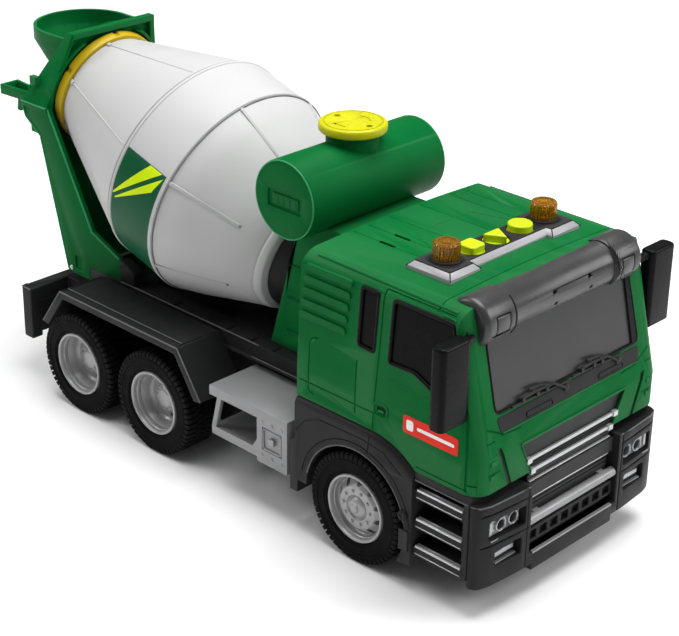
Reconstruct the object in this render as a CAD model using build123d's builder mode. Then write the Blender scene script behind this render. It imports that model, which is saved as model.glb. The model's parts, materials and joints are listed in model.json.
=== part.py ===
from build123d import *
import os
from math import cos, pi, radians, sin

os.makedirs("parts", exist_ok=True)

# ---------------------------------------------------------------------------------------------
# Driving dimensions, in millimetres. +X is forward, +Y is the truck's left, +Z is up.
# The origin is on the ground, under the middle of the truck's length and width.
# ---------------------------------------------------------------------------------------------
HALF_LENGTH = 210.0
WHEEL_R = 28.0
RIM_R = 17.2
TRACK_OUT = 68.0
TYRE_WIDTH = 22.0
AXLE_R = 1.5
RUN_GAP = 0.05
REAR_AXLE_X = -68.6
MIDDLE_AXLE_X = -7.6
FRONT_AXLE_X = 135.0

DECK_TOP = 68.0
DECK_DEPTH = 9.0
DECK_HALF = 38.0
DECK_REAR_X = -92.0
TRAY_HALF = 34.0
TRAY_BOTTOM = 12.0
TRAY_REAR_X = -108.0
TRAY_FRONT_X = 197.0
WALL = 2.2

CAB_REAR_X = 96.0
CAB_HALF = 66.0
CAB_FLOOR_Z = 72.5
CAB_ROOF_Z = 146.2
CAB_NOSE_X = 206.0
CAB_CORNER_R = 9.0

DRUM_TILT = 16.96
DRUM_POINT = (10.0, 0.0, 115.3)
MOUTH_S = -131.8
MOUTH_R = 31.6
BELT_BACK_S = -58.0
BELT_FRONT_S = -24.0
BELT_R = 58.8
NOSE_S = 27.3
NOSE_R = 35.0
RING_R = 33.2
RING_WIDTH = 5.3
DRUM_SKIN = 2.0
COLLAR_R = 27.95
DRUM_SHAFT_R = 2.0

TANK_X = 66.0
TANK_Z = 154.5
TANK_R = 19.6
TANK_HALF = 45.1

HOPPER_X = -136.0
HOPPER_R = 27.4
HOPPER_TOP = 187.0
FRAME_TOP = 191.5
LEG_OUT = 38.0

LIGHT_BAR_X = 155.5
BEACON_Y = 33.75
BUTTON_PITCH = 17.0

GEAR_MODULE = 0.8
WHEEL_TEETH = 30
PINION_TEETH = 10
GEAR_CENTRES = GEAR_MODULE * (WHEEL_TEETH + PINION_TEETH) / 2


# ---------------------------------------------------------------------------------------------
# Helpers
# ---------------------------------------------------------------------------------------------
def finish(piece, label):
    """Name a finished piece and write it."""
    piece.part.label = label
    export_step(piece.part, f"parts/{label}.step")


def finish_pair(piece, label):
    """Write a right-hand piece and its mirror image on the truck's left as two solids."""
    with BuildPart() as pair:
        add(piece.part)
        mirror(piece.part, about=Plane.XZ)
    finish(pair, label)


def bar(low, high, mode=Mode.ADD):
    """A block between two opposite corners."""
    middle = [(a + b) / 2 for a, b in zip(low, high)]
    with Locations(tuple(middle)):
        Box(*[b - a for a, b in zip(low, high)], mode=mode)


def upright(y):
    """The XZ plane at a given y, with local x forward and local y up."""
    return Plane.XZ.offset(-y)


def plate_xz(points, y_low, y_high, mode=Mode.ADD):
    """A plate cut to an outline in X and Z, between two values of y."""
    with BuildSketch(upright(y_high)) as outline:
        with BuildLine():
            Polyline(*points, close=True)
        make_face()
    extrude(outline.sketch, amount=y_high - y_low, mode=mode)


def rod_y(x, z, radius, y_low, y_high, mode=Mode.ADD):
    """A round bar along Y."""
    with BuildSketch(upright(y_high)) as outline:
        with Locations((x, z)):
            Circle(radius)
    extrude(outline.sketch, amount=y_high - y_low, mode=mode)


def drum_plane(s):
    """The plane square to the drum's axis at distance s along it; local y is up."""
    tilt = radians(DRUM_TILT)
    forward = Vector(cos(tilt), 0, -sin(tilt))
    origin = Vector(*DRUM_POINT) + forward * s
    return Plane(origin=origin, x_dir=(0, 1, 0), z_dir=forward)


DRUM_AXIS = Axis(DRUM_POINT, tuple(drum_plane(0).z_dir))
# The plane that holds the drum's axis: local x runs along it, local y away from it.
DRUM_SECTION = Plane(origin=DRUM_POINT, x_dir=tuple(drum_plane(0).z_dir), z_dir=(0, -1, 0))


def revolve_on_drum(points, mode=Mode.ADD):
    """Turn an outline of (s, r) points about the drum's axis."""
    with BuildSketch(DRUM_SECTION) as outline:
        with BuildLine():
            Polyline(*points, close=True)
        make_face()
    revolve(outline.sketch, axis=DRUM_AXIS, mode=mode)


# ---------------------------------------------------------------------------------------------
# Chassis: tray, deck, bumpers
# ---------------------------------------------------------------------------------------------
TRAY_TOP = DECK_TOP - DECK_DEPTH
AXLES = {"rear": REAR_AXLE_X, "middle": MIDDLE_AXLE_X, "front": FRONT_AXLE_X}
BATTERY_X = (44.0, 104.0)
BATTERY_HALF = 23.5
DOOR_THICK = 2.2
RIB_HEIGHT = 0.6
SPEAKER_X = 176.0
SPEAKER_R = 14.0

SCREW_R = 1.2
HEAD_R = 2.4
HEAD_DEPTH = 1.6
TRAY_SCREWS = [(-84.0, -22.0), (-84.0, 22.0), (30.0, -22.0), (30.0, 22.0), (112.0, -22.0), (112.0, 22.0),
               (190.0, -22.0), (190.0, 22.0)]

with BuildPart() as tray:
    bar((TRAY_REAR_X, -TRAY_HALF, TRAY_BOTTOM), (TRAY_FRONT_X, TRAY_HALF, TRAY_TOP))
    bar((TRAY_REAR_X + WALL, -TRAY_HALF + WALL, TRAY_BOTTOM + WALL),
        (TRAY_FRONT_X - WALL, TRAY_HALF - WALL, TRAY_TOP + 1), mode=Mode.SUBTRACT)
    # Bosses that carry the axles, and the axle holes through the side walls.
    for axle_x in AXLES.values():
        for side in (-1, 1):
            rod_y(axle_x, WHEEL_R, 5.0, min(side * TRAY_HALF, side * (TRAY_HALF + 8)),
                  max(side * TRAY_HALF, side * (TRAY_HALF + 8)))
        rod_y(axle_x, WHEEL_R, AXLE_R + RUN_GAP, -50, 50, mode=Mode.SUBTRACT)
    # Screw bosses on the floor.
    for screw_x, screw_y in TRAY_SCREWS:
        with Locations((screw_x, screw_y, TRAY_BOTTOM)):
            Cylinder(3.8, 12.0, align=(Align.CENTER, Align.CENTER, Align.MIN))
            Cylinder(SCREW_R, 30.0, mode=Mode.SUBTRACT)
            Cylinder(HEAD_R, 2 * HEAD_DEPTH, mode=Mode.SUBTRACT)
    # Battery opening in the floor.
    bar((BATTERY_X[0], -BATTERY_HALF, TRAY_BOTTOM - 1),
        (BATTERY_X[1], BATTERY_HALF, TRAY_BOTTOM + WALL + 1), mode=Mode.SUBTRACT)
    # Sound holes under the speaker.
    with Locations((SPEAKER_X, 0, TRAY_BOTTOM)):
        with PolarLocations(8, 8):
            Cylinder(1.2, 10, mode=Mode.SUBTRACT)
        with PolarLocations(3.6, 4):
            Cylinder(1.2, 10, mode=Mode.SUBTRACT)
finish(tray, "chassis_tray")

WELL_X = (-54.0, 10.0)
WELL_HALF = 27.0
WELL_FLOOR = 60.6

with BuildPart() as deck:
    bar((DECK_REAR_X, -DECK_HALF, TRAY_TOP), (CAB_REAR_X, DECK_HALF, DECK_TOP))
    bar((DECK_REAR_X + WALL, -DECK_HALF + WALL, TRAY_TOP - 1),
        (CAB_REAR_X - WALL, DECK_HALF - WALL, DECK_TOP - WALL), mode=Mode.SUBTRACT)
    # Sunken well that clears the underside of the drum.
    bar((WELL_X[0], -WELL_HALF, WELL_FLOOR), (WELL_X[1], WELL_HALF, DECK_TOP - 1))
    bar((WELL_X[0] + 2, -WELL_HALF + 2, WELL_FLOOR + 2), (WELL_X[1] - 2, WELL_HALF - 2, DECK_TOP + 1),
        mode=Mode.SUBTRACT)
    # Lower rim that stands a little proud all round.
    bar((DECK_REAR_X, -DECK_HALF - 1.2, TRAY_TOP), (CAB_REAR_X, -DECK_HALF + WALL, TRAY_TOP + 1.6))
    bar((DECK_REAR_X, DECK_HALF - WALL, TRAY_TOP), (CAB_REAR_X, DECK_HALF + 1.2, TRAY_TOP + 1.6))
    # Ledge that closes onto the tray's walls.
    for side in (-1, 1):
        bar((DECK_REAR_X, min(side * 31, side * DECK_HALF), TRAY_TOP),
            (CAB_REAR_X, max(side * 31, side * DECK_HALF), TRAY_TOP + 1.6))
    # Stop blocks in front of the rear legs.
    for side in (-1, 1):
        low, high = sorted((side * DECK_HALF, side * (DECK_HALF - 6)))
        plate_xz([(-66.0, DECK_TOP), (-55.0, DECK_TOP), (-55.0, 75.0), (-58.0, 77.4), (-66.0, 80.5)],
                 low, high)
finish(deck, "deck")

with BuildPart() as rear_bumper:
    # A plate across the back, and two arms that run forward under the deck.
    bar((-126.0, -60.0, 23.0), (-118.0, 60.0, 53.0))
    bar((-122.5, -57.0, 20.0), (-115.0, 57.0, 44.0), mode=Mode.SUBTRACT)
    for side in (-1, 1):
        low, high = sorted((side * 60.0, side * 53.0))
        bar((-122.5, low, 23.0), (-118.0, high, 53.0))
        low, high = sorted((side * 34.0, side * 22.0))
        bar((-118.0, low, 44.0), (TRAY_REAR_X, high, 53.0))
    fillet(rear_bumper.edges().filter_by(Axis.Z).group_by(Axis.X)[0], radius=1.5)
finish(rear_bumper, "rear_bumper")

# ---------------------------------------------------------------------------------------------
# Rear fenders: a flat top with a sloping flap at each end, over the two rear axles
# ---------------------------------------------------------------------------------------------
FENDER_OUTLINE = [(-97.0, 44.4), (-80.5, 67.0), (13.0, 67.0), (30.0, 42.5)]
FENDER_SKIN = 2.4
FENDER_LIP = 4.0


def fender_band(depth):
    """The fender's outline given a depth, measured inwards."""
    rear_low, rear_top, front_top, front_low = FENDER_OUTLINE
    return [rear_low, rear_top, front_top, front_low,
            (front_low[0] - depth * 1.25, front_low[1] - depth * 0.2),
            (front_top[0] - depth * 0.55, front_top[1] - depth),
            (rear_top[0] + depth * 0.55, rear_top[1] - depth),
            (rear_low[0] + depth * 1.25, rear_low[1] - depth * 0.2)]


with BuildPart() as rear_fender:
    plate_xz(fender_band(FENDER_SKIN), -TRACK_OUT, -DECK_HALF - 1.2)
    plate_xz(fender_band(FENDER_LIP), -TRACK_OUT, -TRACK_OUT + 2.4)
    # Raised line just inside the outer edge.
    bar((-78.0, -TRACK_OUT + 4.6, 66.8), (11.0, -TRACK_OUT + 5.6, 67.6))
finish_pair(rear_fender, "rear_fenders")

# ---------------------------------------------------------------------------------------------
# Side locker with its shelf and step
# ---------------------------------------------------------------------------------------------
LOCKER_OUT = 67.2
SHELF_TOP = 55.4

with BuildPart() as side_locker:
    bar((36.0, -LOCKER_OUT, SHELF_TOP - 2.4), (90.5, -DECK_HALF + 3.0, SHELF_TOP))
    bar((36.0, -LOCKER_OUT, SHELF_TOP - 5.2), (90.5, -LOCKER_OUT + 2.2, SHELF_TOP))
    bar((69.7, -LOCKER_OUT, 26.7), (90.5, -LOCKER_OUT + 2.4, SHELF_TOP))
    bar((69.7, -LOCKER_OUT, 26.7), (72.1, -TRAY_HALF, SHELF_TOP))
    bar((88.1, -LOCKER_OUT, 26.7), (90.5, -TRAY_HALF, SHELF_TOP))
    bar((69.7, -LOCKER_OUT, 26.7), (90.5, -TRAY_HALF, 29.1))
    bar((37.5, -LOCKER_OUT, 29.0), (69.7, -TRAY_HALF, 33.5))
    # Recessed panel on the locker door.
    bar((73.4, -LOCKER_OUT - 1, 34.4), (87.0, -LOCKER_OUT + 0.8, 46.8), mode=Mode.SUBTRACT)
    # Two slanted posts between step and shelf, and the end plate.
    plate_xz([(66.4, 33.5), (69.7, 33.5), (69.7, 38.5)], -LOCKER_OUT, -LOCKER_OUT + 2.4)
    plate_xz([(37.5, 33.5), (40.5, 33.5), (44.5, 50.2), (41.5, 50.2)], -LOCKER_OUT, -LOCKER_OUT + 2.4)
    # Rivets along the top and the bottom of the locker door.
    for rivet_z in (31.4, 49.6):
        for rivet_x in (73.4, 80.2, 87.0):
            rod_y(rivet_x, rivet_z, 0.9, -LOCKER_OUT - 0.5, -LOCKER_OUT + 1)
finish_pair(side_locker, "side_lockers")

# ---------------------------------------------------------------------------------------------
# Front mudguard with its flap, and the entry steps in front of it
# ---------------------------------------------------------------------------------------------
ARCH_R = 31.0
# The line where the mudguard's top meets the cab, falling towards the front.
GUARD_CURVE = [(143.0, CAB_FLOOR_Z), (158.5, 69.5), (170.0, 62.5)]
GUARD_OUT = 67.5

with BuildPart() as front_mudguard:
    with BuildSketch(upright(-TRAY_HALF)):
        with BuildLine():
            Polyline(GUARD_CURVE[2], (170.0, 14.0), (160.0, 12.0), (150.0, 28.0), (98.0, 28.0),
                     (98.0, 21.5), (93.0, 21.5), (93.0, 48.0), (CAB_REAR_X, 50.0), (CAB_REAR_X, CAB_FLOOR_Z),
                     GUARD_CURVE[0])
            ThreePointArc(*GUARD_CURVE)
        make_face()
    extrude(amount=GUARD_OUT - TRAY_HALF)
    rod_y(FRONT_AXLE_X, WHEEL_R, ARCH_R, -GUARD_OUT - 1, -TRAY_HALF + 1, mode=Mode.SUBTRACT)
    outer_top = front_mudguard.edges().filter_by(
        lambda e: abs(e.center().Y + GUARD_OUT) < 0.01 and e.center().Z > 62)
    fillet(outer_top, radius=4.5)
finish_pair(front_mudguard, "front_mudguards")

STEP_TOPS = (53.0, 38.0, 23.8)
STEP_OUT = 66.0

with BuildPart() as entry_steps:
    bar((170.0, -54.0, 19.5), (201.5, -TRAY_HALF, 62.5))
    for step_top in STEP_TOPS:
        bar((170.0, -STEP_OUT, step_top - 4.3), (201.5, -50.0, step_top))
    bar((170.0, -STEP_OUT, 58.5), (201.5, -50.0, 62.5))
    bar((198.5, -STEP_OUT, 19.5), (201.5, -50.0, 62.5))
finish_pair(entry_steps, "entry_steps")

with BuildPart() as step_treads:
    for step_top in STEP_TOPS:
        bar((171.0, -STEP_OUT, step_top), (198.5, -STEP_OUT + 3.4, step_top + 1.2))
finish_pair(step_treads, "step_treads")

# ---------------------------------------------------------------------------------------------
# Cab
# ---------------------------------------------------------------------------------------------
CAB_SIDE = [GUARD_CURVE[2], (CAB_NOSE_X, 62.5), (CAB_NOSE_X, 79.0), (202.0, 95.0), (190.5, 141.0),
            (188.5, 149.0), (CAB_REAR_X + 2, 149.0), (CAB_REAR_X, 138.0), (CAB_REAR_X, CAB_FLOOR_Z),
            GUARD_CURVE[0]]
CAB_SKIN = 2.2


def cab_block(inset):
    """The cab's outer form, or the same form moved inwards."""
    with BuildPart() as block:
        with BuildSketch(upright(CAB_HALF - inset)):
            with BuildLine():
                Polyline(*CAB_SIDE)
                ThreePointArc(*GUARD_CURVE)
            make_face()
            if inset:
                offset(amount=-inset, kind=Kind.INTERSECTION)
        extrude(amount=2 * (CAB_HALF - inset))
        nose_edges = block.edges().filter_by(
            lambda e: e.center().X > 185 and abs(e.center().Y) > 60 and e.length > 5
            and abs(e.tangent_at(0.5).Z) > 0.5)
        fillet(nose_edges, radius=CAB_CORNER_R - inset)
        # Front view: upright lower walls, a little tumblehome, rounded roof edges, crowned roof.
        with BuildSketch(Plane.YZ.offset(80)) as front_view:
            with BuildLine():
                Polyline((-63.2, 144.2), (-66.0, 88.0), (-66.0, 40.0), (66.0, 40.0), (66.0, 88.0),
                         (63.2, 144.2))
                ThreePointArc((-63.2, 144.2), (0, CAB_ROOF_Z), (63.2, 144.2))
            make_face()
            fillet(front_view.vertices().sort_by(Axis.Y)[-2:], radius=9.0)
            if inset:
                offset(amount=-inset, kind=Kind.INTERSECTION)
        extrude(amount=150, mode=Mode.INTERSECT)
    return block.part


def side_window(points, radius):
    """A window opening's outline cut through both side walls."""
    with BuildPart() as opening:
        with BuildSketch(upright(CAB_HALF + 5)) as outline:
            with BuildLine():
                Polyline(*points, close=True)
            make_face()
            fillet(outline.vertices(), radius=radius)
        extrude(amount=2 * (CAB_HALF + 5))
    return opening.part


def windscreen_opening():
    """The windscreen's opening, cut through the front wall."""
    with BuildPart() as opening:
        with BuildSketch(Plane.YZ.offset(180)) as outline:
            with BuildLine():
                Polyline((-51.5, 96.8), (51.5, 96.8), (50.5, 137.0), (-50.5, 137.0), close=True)
            make_face()
            fillet(outline.vertices(), radius=4.0)
        extrude(amount=40)
    return opening.part


cab_outer = cab_block(0)
cab_glass_face = cab_block(0.7)
cab_inner = cab_block(CAB_SKIN)
REAR_WINDOW = [(133.0, 111.0), (142.8, 110.4), (143.8, 139.0), (133.8, 139.0)]
DOOR_WINDOW = [(151.8, 108.8), (166.5, 109.4), (178.0, 104.4), (189.5, 104.4), (193.0, 110.0),
               (186.5, 138.6), (152.8, 138.6)]
windscreen_cut = windscreen_opening()
rear_window_cut = side_window(REAR_WINDOW, 1.6)
door_window_cut = side_window(DOOR_WINDOW, 1.6)
BUTTONS = {"square": -BUTTON_PITCH, "triangle": 0.0, "round": BUTTON_PITCH}
BUTTON_HOLE_R = 6.5
BOARD_TOP = 134.0
BOARD_POSTS = [(LIGHT_BAR_X + dx, y) for dx in (-13.0, 13.0) for y in (-28.0, 28.0)]

with BuildPart() as cab_shell:
    add(cab_outer)
    add(cab_inner, mode=Mode.SUBTRACT)
    add(windscreen_cut, mode=Mode.SUBTRACT)
    add(rear_window_cut, mode=Mode.SUBTRACT)
    add(door_window_cut, mode=Mode.SUBTRACT)
    # Open floor.
    bar((CAB_REAR_X + CAB_SKIN, -60, 50), (200.0, 60, 80), mode=Mode.SUBTRACT)
    # Radiator panel recess in the nose, open to the back.
    with BuildSketch(Plane.YZ.offset(195)):
        with BuildLine():
            Polyline((-28.5, 60.0), (28.5, 60.0), (38.0, 79.0), (-38.0, 79.0), close=True)
        make_face()
    extrude(amount=20, mode=Mode.SUBTRACT)
    # Louvre ribs on both sides, behind the door.
    for side in (-1, 1):
        for rib in range(5):
            rib_z = 138.0 - 5.9 * rib
            rib_y = side * (65.9 - 2.8 * (rib_z - 88.0) / 56.0)
            rib_x = 113.6 - 0.65 * rib
            low, high = sorted((rib_y - side * 1.2, rib_y + side * 0.9))
            with BuildSketch(upright(high)):
                with Locations((rib_x, rib_z)):
                    SlotOverall(29.0, 3.4)
            extrude(amount=high - low)
    # Holes for the three buttons through the roof.
    for button_y in BUTTONS.values():
        with Locations((LIGHT_BAR_X, button_y, CAB_ROOF_Z)):
            Cylinder(BUTTON_HOLE_R, 12, mode=Mode.SUBTRACT)
    # Posts under the roof that carry the sound board.
    for post_x, post_y in BOARD_POSTS:
        with Locations((post_x, post_y, (BOARD_TOP + 144.4) / 2)):
            Cylinder(3.0, 144.4 - BOARD_TOP)
        with Locations((post_x, post_y, BOARD_TOP + 3)):
            Cylinder(SCREW_R, 6, mode=Mode.SUBTRACT)
finish(cab_shell, "cab_shell")

with BuildPart() as windscreen:
    add(cab_glass_face)
    add(cab_inner, mode=Mode.SUBTRACT)
    add(windscreen_cut, mode=Mode.INTERSECT)
finish(windscreen, "windscreen")

with BuildPart() as side_windows:
    add(cab_glass_face)
    add(cab_inner, mode=Mode.SUBTRACT)
    with BuildPart(mode=Mode.PRIVATE) as both_cuts:
        add(rear_window_cut)
        add(door_window_cut)
    add(both_cuts.part, mode=Mode.INTERSECT)
finish(side_windows, "side_windows")

# ---------------------------------------------------------------------------------------------
# Front end: radiator panel, trim bars, bumper, lamps, visor, wipers, mirrors
# ---------------------------------------------------------------------------------------------
with BuildPart() as grille_panel:
    with BuildSketch(Plane.YZ.offset(199)):
        with BuildLine():
            Polyline((-28.5, 60.0), (28.5, 60.0), (38.0, 79.0), (-38.0, 79.0), close=True)
        make_face()
    extrude(amount=5.6)
    with BuildSketch(Plane.YZ.offset(199)):
        with BuildLine():
            Polyline((-30.0, 22.0), (30.0, 22.0), (30.0, 60.0), (-30.0, 60.0), close=True)
        make_face()
    extrude(amount=5.6)
finish(grille_panel, "grille_panel")

with BuildPart() as grille_bars:
    for bar_z, bar_half in ((68.5, 31.8), (62.3, 28.9)):
        bar((204.6, -bar_half, bar_z - 1.1), (206.2, bar_half, bar_z + 1.1))
finish(grille_bars, "grille_bars")

BUMPER_TOP = 58.0
with BuildPart() as front_bumper:
    with BuildSketch(Plane.XY.offset(16.0)) as bumper_plan:
        with BuildLine():
            Polyline((201.5, -65.5), (207.0, -65.5), (HALF_LENGTH, -36.0), (HALF_LENGTH, 36.0),
                     (207.0, 65.5), (201.5, 65.5), close=True)
        make_face()
        fillet(bumper_plan.vertices().group_by(Axis.X)[1], radius=4.5)
    extrude(amount=BUMPER_TOP - 16.0)
    # Middle opening for the lower grille, and the lip below it.
    bar((190, -32.0, 22.0), (215, 32.0, 70), mode=Mode.SUBTRACT)
    bar((204.6, -30.0, 12.5), (HALF_LENGTH, 30.0, 22.0))
    # Lamp pockets.
    for side in (-1, 1):
        low, high = sorted((side * 59.0, side * 36.0))
        bar((205.5, low, 40.0), (215, high, 49.5), mode=Mode.SUBTRACT)
        low, high = sorted((side * 55.0, side * 38.0))
        bar((205.5, low, 25.5), (215, high, 34.0), mode=Mode.SUBTRACT)
finish(front_bumper, "front_bumper")

with BuildPart() as bumper_lamps:
    bar((205.5, -59.0, 40.0), (207.3, -36.0, 49.5))
    bar((205.5, -55.0, 25.5), (207.3, -38.0, 34.0))
finish_pair(bumper_lamps, "bumper_lamps")

with BuildPart() as bumper_tube:
    rod_y(207.0, 38.0, 2.4, -31.9, 31.9)
finish(bumper_tube, "bumper_tube")

VISOR_X, VISOR_Z = 186.5, 136.5
with BuildPart() as visor:
    rod_y(VISOR_X, VISOR_Z, 10.2, -35.5, 35.5)
    for side in (-1, 1):
        low, high = sorted((side * 35.5, side * 55.0))
        rod_y(VISOR_X, VISOR_Z, 11.4, low, high)
    fillet(visor.edges().group_by(Axis.Y)[0] + visor.edges().group_by(Axis.Y)[-1], radius=3.0)
    add(cab_outer, mode=Mode.SUBTRACT)
finish(visor, "visor")

with BuildPart() as wipers:
    wiper_axis = Plane(origin=(201.4, 0, 99.5), x_dir=(0, 1, 0), z_dir=(0.97, 0, 0.243))
    for start_y, tip_y in ((-27.0, -2.0), (12.0, 37.0)):
        with BuildSketch(wiper_axis.offset(0.2)):
            with Locations(((start_y + tip_y) / 2, 4.0)):
                Rectangle(abs(tip_y - start_y), 1.2, rotation=-12)
            with Locations((tip_y - 12.0, 7.5)):
                Rectangle(26.0, 1.2, rotation=16)
            with Locations((start_y, 6.6)):
                Rectangle(3.0, 3.0)
        extrude(amount=1.2)
    add(cab_outer, mode=Mode.SUBTRACT)
finish(wipers, "wipers")

with BuildPart() as mirror_right:
    bar((189.5, -82.0, 97.5), (197.5, -64.0, 136.5))
    fillet(mirror_right.edges().filter_by(Axis.Z), radius=2.6)
    fillet(mirror_right.edges().group_by(Axis.Z)[-1], radius=1.6)
    bar((191.0, -66.0, 132.0), (194.5, -58.0, 135.0))
    bar((191.0, -66.0, 101.0), (194.5, -58.0, 104.0))
    add(cab_outer, mode=Mode.SUBTRACT)
finish_pair(mirror_right, "mirrors")

# ---------------------------------------------------------------------------------------------
# Roof: light bar, beacons, buttons, sound board
# ---------------------------------------------------------------------------------------------
BAR_TOP = CAB_ROOF_Z + 3.4
POD_INNER = 25.0
with BuildPart() as light_bar:
    for side in (-1, 1):
        low, high = sorted((side * POD_INNER, side * 45.3))
        bar((LIGHT_BAR_X - 12.6, low, CAB_ROOF_Z - 3), (LIGHT_BAR_X + 12.6, high, BAR_TOP))
    bar((LIGHT_BAR_X - 9.4, -POD_INNER, CAB_ROOF_Z - 3), (LIGHT_BAR_X + 9.4, POD_INNER, BAR_TOP))
    chamfer(light_bar.faces().sort_by(Axis.Z)[-1].edges(), length=1.5)
    add(cab_outer, mode=Mode.SUBTRACT)
    for button_y in BUTTONS.values():
        with Locations((LIGHT_BAR_X, button_y, CAB_ROOF_Z)):
            Cylinder(BUTTON_HOLE_R, 12, mode=Mode.SUBTRACT)
finish(light_bar, "light_bar")

with BuildPart() as beacon:
    with Locations((LIGHT_BAR_X, -BEACON_Y, BAR_TOP)):
        Cylinder(6.3, 9.0, align=(Align.CENTER, Align.CENTER, Align.MIN))
    fillet(beacon.edges().group_by(Axis.Z)[-1], radius=1.0)
    with Locations((LIGHT_BAR_X, -BEACON_Y, BAR_TOP)):
        Cylinder(4.8, 7.4, align=(Align.CENTER, Align.CENTER, Align.MIN), mode=Mode.SUBTRACT)
finish_pair(beacon, "beacons")

with BuildPart() as beacon_bulb:
    with Locations((LIGHT_BAR_X, -BEACON_Y, BAR_TOP)):
        Cylinder(1.5, 4.0, align=(Align.CENTER, Align.CENTER, Align.MIN))
    fillet(beacon_bulb.edges().group_by(Axis.Z)[-1], radius=1.2)
finish_pair(beacon_bulb, "beacon_bulbs")

BUTTON_TOP = BAR_TOP + 3.0
BUTTON_FLANGE_Z = 141.8
BUTTON_SHOULDER_Z = 148.8
for shape_name, button_y in BUTTONS.items():
    with BuildPart() as button:
        with Locations((LIGHT_BAR_X, button_y, BUTTON_FLANGE_Z)):
            Cylinder(7.8, 1.4, align=(Align.CENTER, Align.CENTER, Align.MIN))
            Cylinder(6.2, BUTTON_SHOULDER_Z - BUTTON_FLANGE_Z, align=(Align.CENTER, Align.CENTER, Align.MIN))
            Cylinder(1.6, BUTTON_FLANGE_Z - BOARD_TOP - 3.4, align=(Align.CENTER, Align.CENTER, Align.MAX))
        with BuildSketch(Plane.XY.offset(BUTTON_SHOULDER_Z)) as cap:
            with Locations((LIGHT_BAR_X, button_y)):
                if shape_name == "square":
                    RectangleRounded(9.4, 9.4, 1.8)
                elif shape_name == "triangle":
                    RegularPolygon(6.3, 3, rotation=0)
                else:
                    Circle(5.8)
        extrude(amount=BUTTON_TOP - BUTTON_SHOULDER_Z)
        fillet(button.faces().sort_by(Axis.Z)[-1].edges(), radius=0.8)
    finish(button, f"button_{shape_name}")

with BuildPart() as sound_board:
    bar((LIGHT_BAR_X - 17, -36.0, BOARD_TOP - 1.6), (LIGHT_BAR_X + 17, 36.0, BOARD_TOP))
    for post_x, post_y in BOARD_POSTS:
        with Locations((post_x, post_y, BOARD_TOP)):
            Cylinder(SCREW_R + 0.3, 6, mode=Mode.SUBTRACT)
    for button_y in BUTTONS.values():
        bar((LIGHT_BAR_X - 3, button_y - 3, BOARD_TOP), (LIGHT_BAR_X + 3, button_y + 3, BOARD_TOP + 1.6))
    bar((LIGHT_BAR_X - 15, -9.0, BOARD_TOP - 3.4), (LIGHT_BAR_X - 5, 9.0, BOARD_TOP - 1.6))
finish(sound_board, "sound_board")

# ---------------------------------------------------------------------------------------------
# Drum pedestal, bearing plate, water tank
# ---------------------------------------------------------------------------------------------
PEDESTAL_HALF = 30.0
with BuildPart() as pedestal:
    plate_xz([(40.8, DECK_TOP), (93.5, DECK_TOP), (91.0, 140.0), (61.0, 140.0)], -PEDESTAL_HALF,
             PEDESTAL_HALF)
    plate_xz([(44.2, DECK_TOP - 1), (91.2, DECK_TOP - 1), (88.8, 128.0), (60.2, 128.0)],
             -PEDESTAL_HALF + 2.4, PEDESTAL_HALF - 2.4, mode=Mode.SUBTRACT)
    rod_y(TANK_X, TANK_Z, TANK_R, -50, 50, mode=Mode.SUBTRACT)
    with BuildSketch(drum_plane(40.0)):
        Circle(DRUM_SHAFT_R + RUN_GAP)
    extrude(amount=12, mode=Mode.SUBTRACT)
finish(pedestal, "drum_pedestal")

PEDESTAL_FACE_S = 42.6
with BuildPart() as bearing_plate:
    revolve_on_drum([(31.5, 0), (31.5, 30.5), (34.0, 30.5), (PEDESTAL_FACE_S, 27.0), (PEDESTAL_FACE_S, 0)])
    add(pedestal.part, mode=Mode.SUBTRACT)
    with BuildSketch(drum_plane(28.0)):
        Circle(DRUM_SHAFT_R + RUN_GAP)
    extrude(amount=20, mode=Mode.SUBTRACT)
finish(bearing_plate, "drum_bearing_plate")

NECK_TOP = 178.0
NECK_R = 12.5
with BuildPart() as water_tank:
    rod_y(TANK_X, TANK_Z, TANK_R, -TANK_HALF, TANK_HALF)
    fillet(water_tank.edges().filter_by(GeomType.CIRCLE), radius=1.4)
    with Locations((TANK_X, 0, TANK_Z)):
        Cylinder(NECK_R, NECK_TOP - TANK_Z, align=(Align.CENTER, Align.CENTER, Align.MIN))
    rod_y(TANK_X, TANK_Z, TANK_R - 2.0, -TANK_HALF + 2.0, TANK_HALF - 2.0, mode=Mode.SUBTRACT)
    with Locations((TANK_X, 0, TANK_Z)):
        Cylinder(NECK_R - 2.0, 40, align=(Align.CENTER, Align.CENTER, Align.MIN), mode=Mode.SUBTRACT)
    # Shallow recess in each end plate.
    for side in (-1, 1):
        low, high = sorted((side * (TANK_HALF - 0.7), side * (TANK_HALF + 1)))
        with BuildSketch(upright(high)):
            with Locations((TANK_X, TANK_Z + 1.0)):
                Rectangle(22.0, 9.0)
        extrude(amount=high - low, mode=Mode.SUBTRACT)
finish(water_tank, "water_tank")

with BuildPart() as tank_cap:
    with Locations((TANK_X, 0, NECK_TOP + 0.1)):
        Cylinder(16.5, 4.4, align=(Align.CENTER, Align.CENTER, Align.MIN))
    fillet(tank_cap.edges().group_by(Axis.Z)[-1], radius=1.0)
    with Locations((TANK_X, 0, NECK_TOP - 6.0)):
        Cylinder(NECK_R - 2.0 - RUN_GAP, 7.0, align=(Align.CENTER, Align.CENTER, Align.MIN))
        Cylinder(NECK_R - 4.0, 5.0, align=(Align.CENTER, Align.CENTER, Align.MIN), mode=Mode.SUBTRACT)
    for hole_x in (-10.5, 10.5):
        with Locations((TANK_X + hole_x, 0, NECK_TOP + 4.5)):
            Cylinder(1.6, 5, mode=Mode.SUBTRACT)
finish(tank_cap, "tank_cap")

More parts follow.
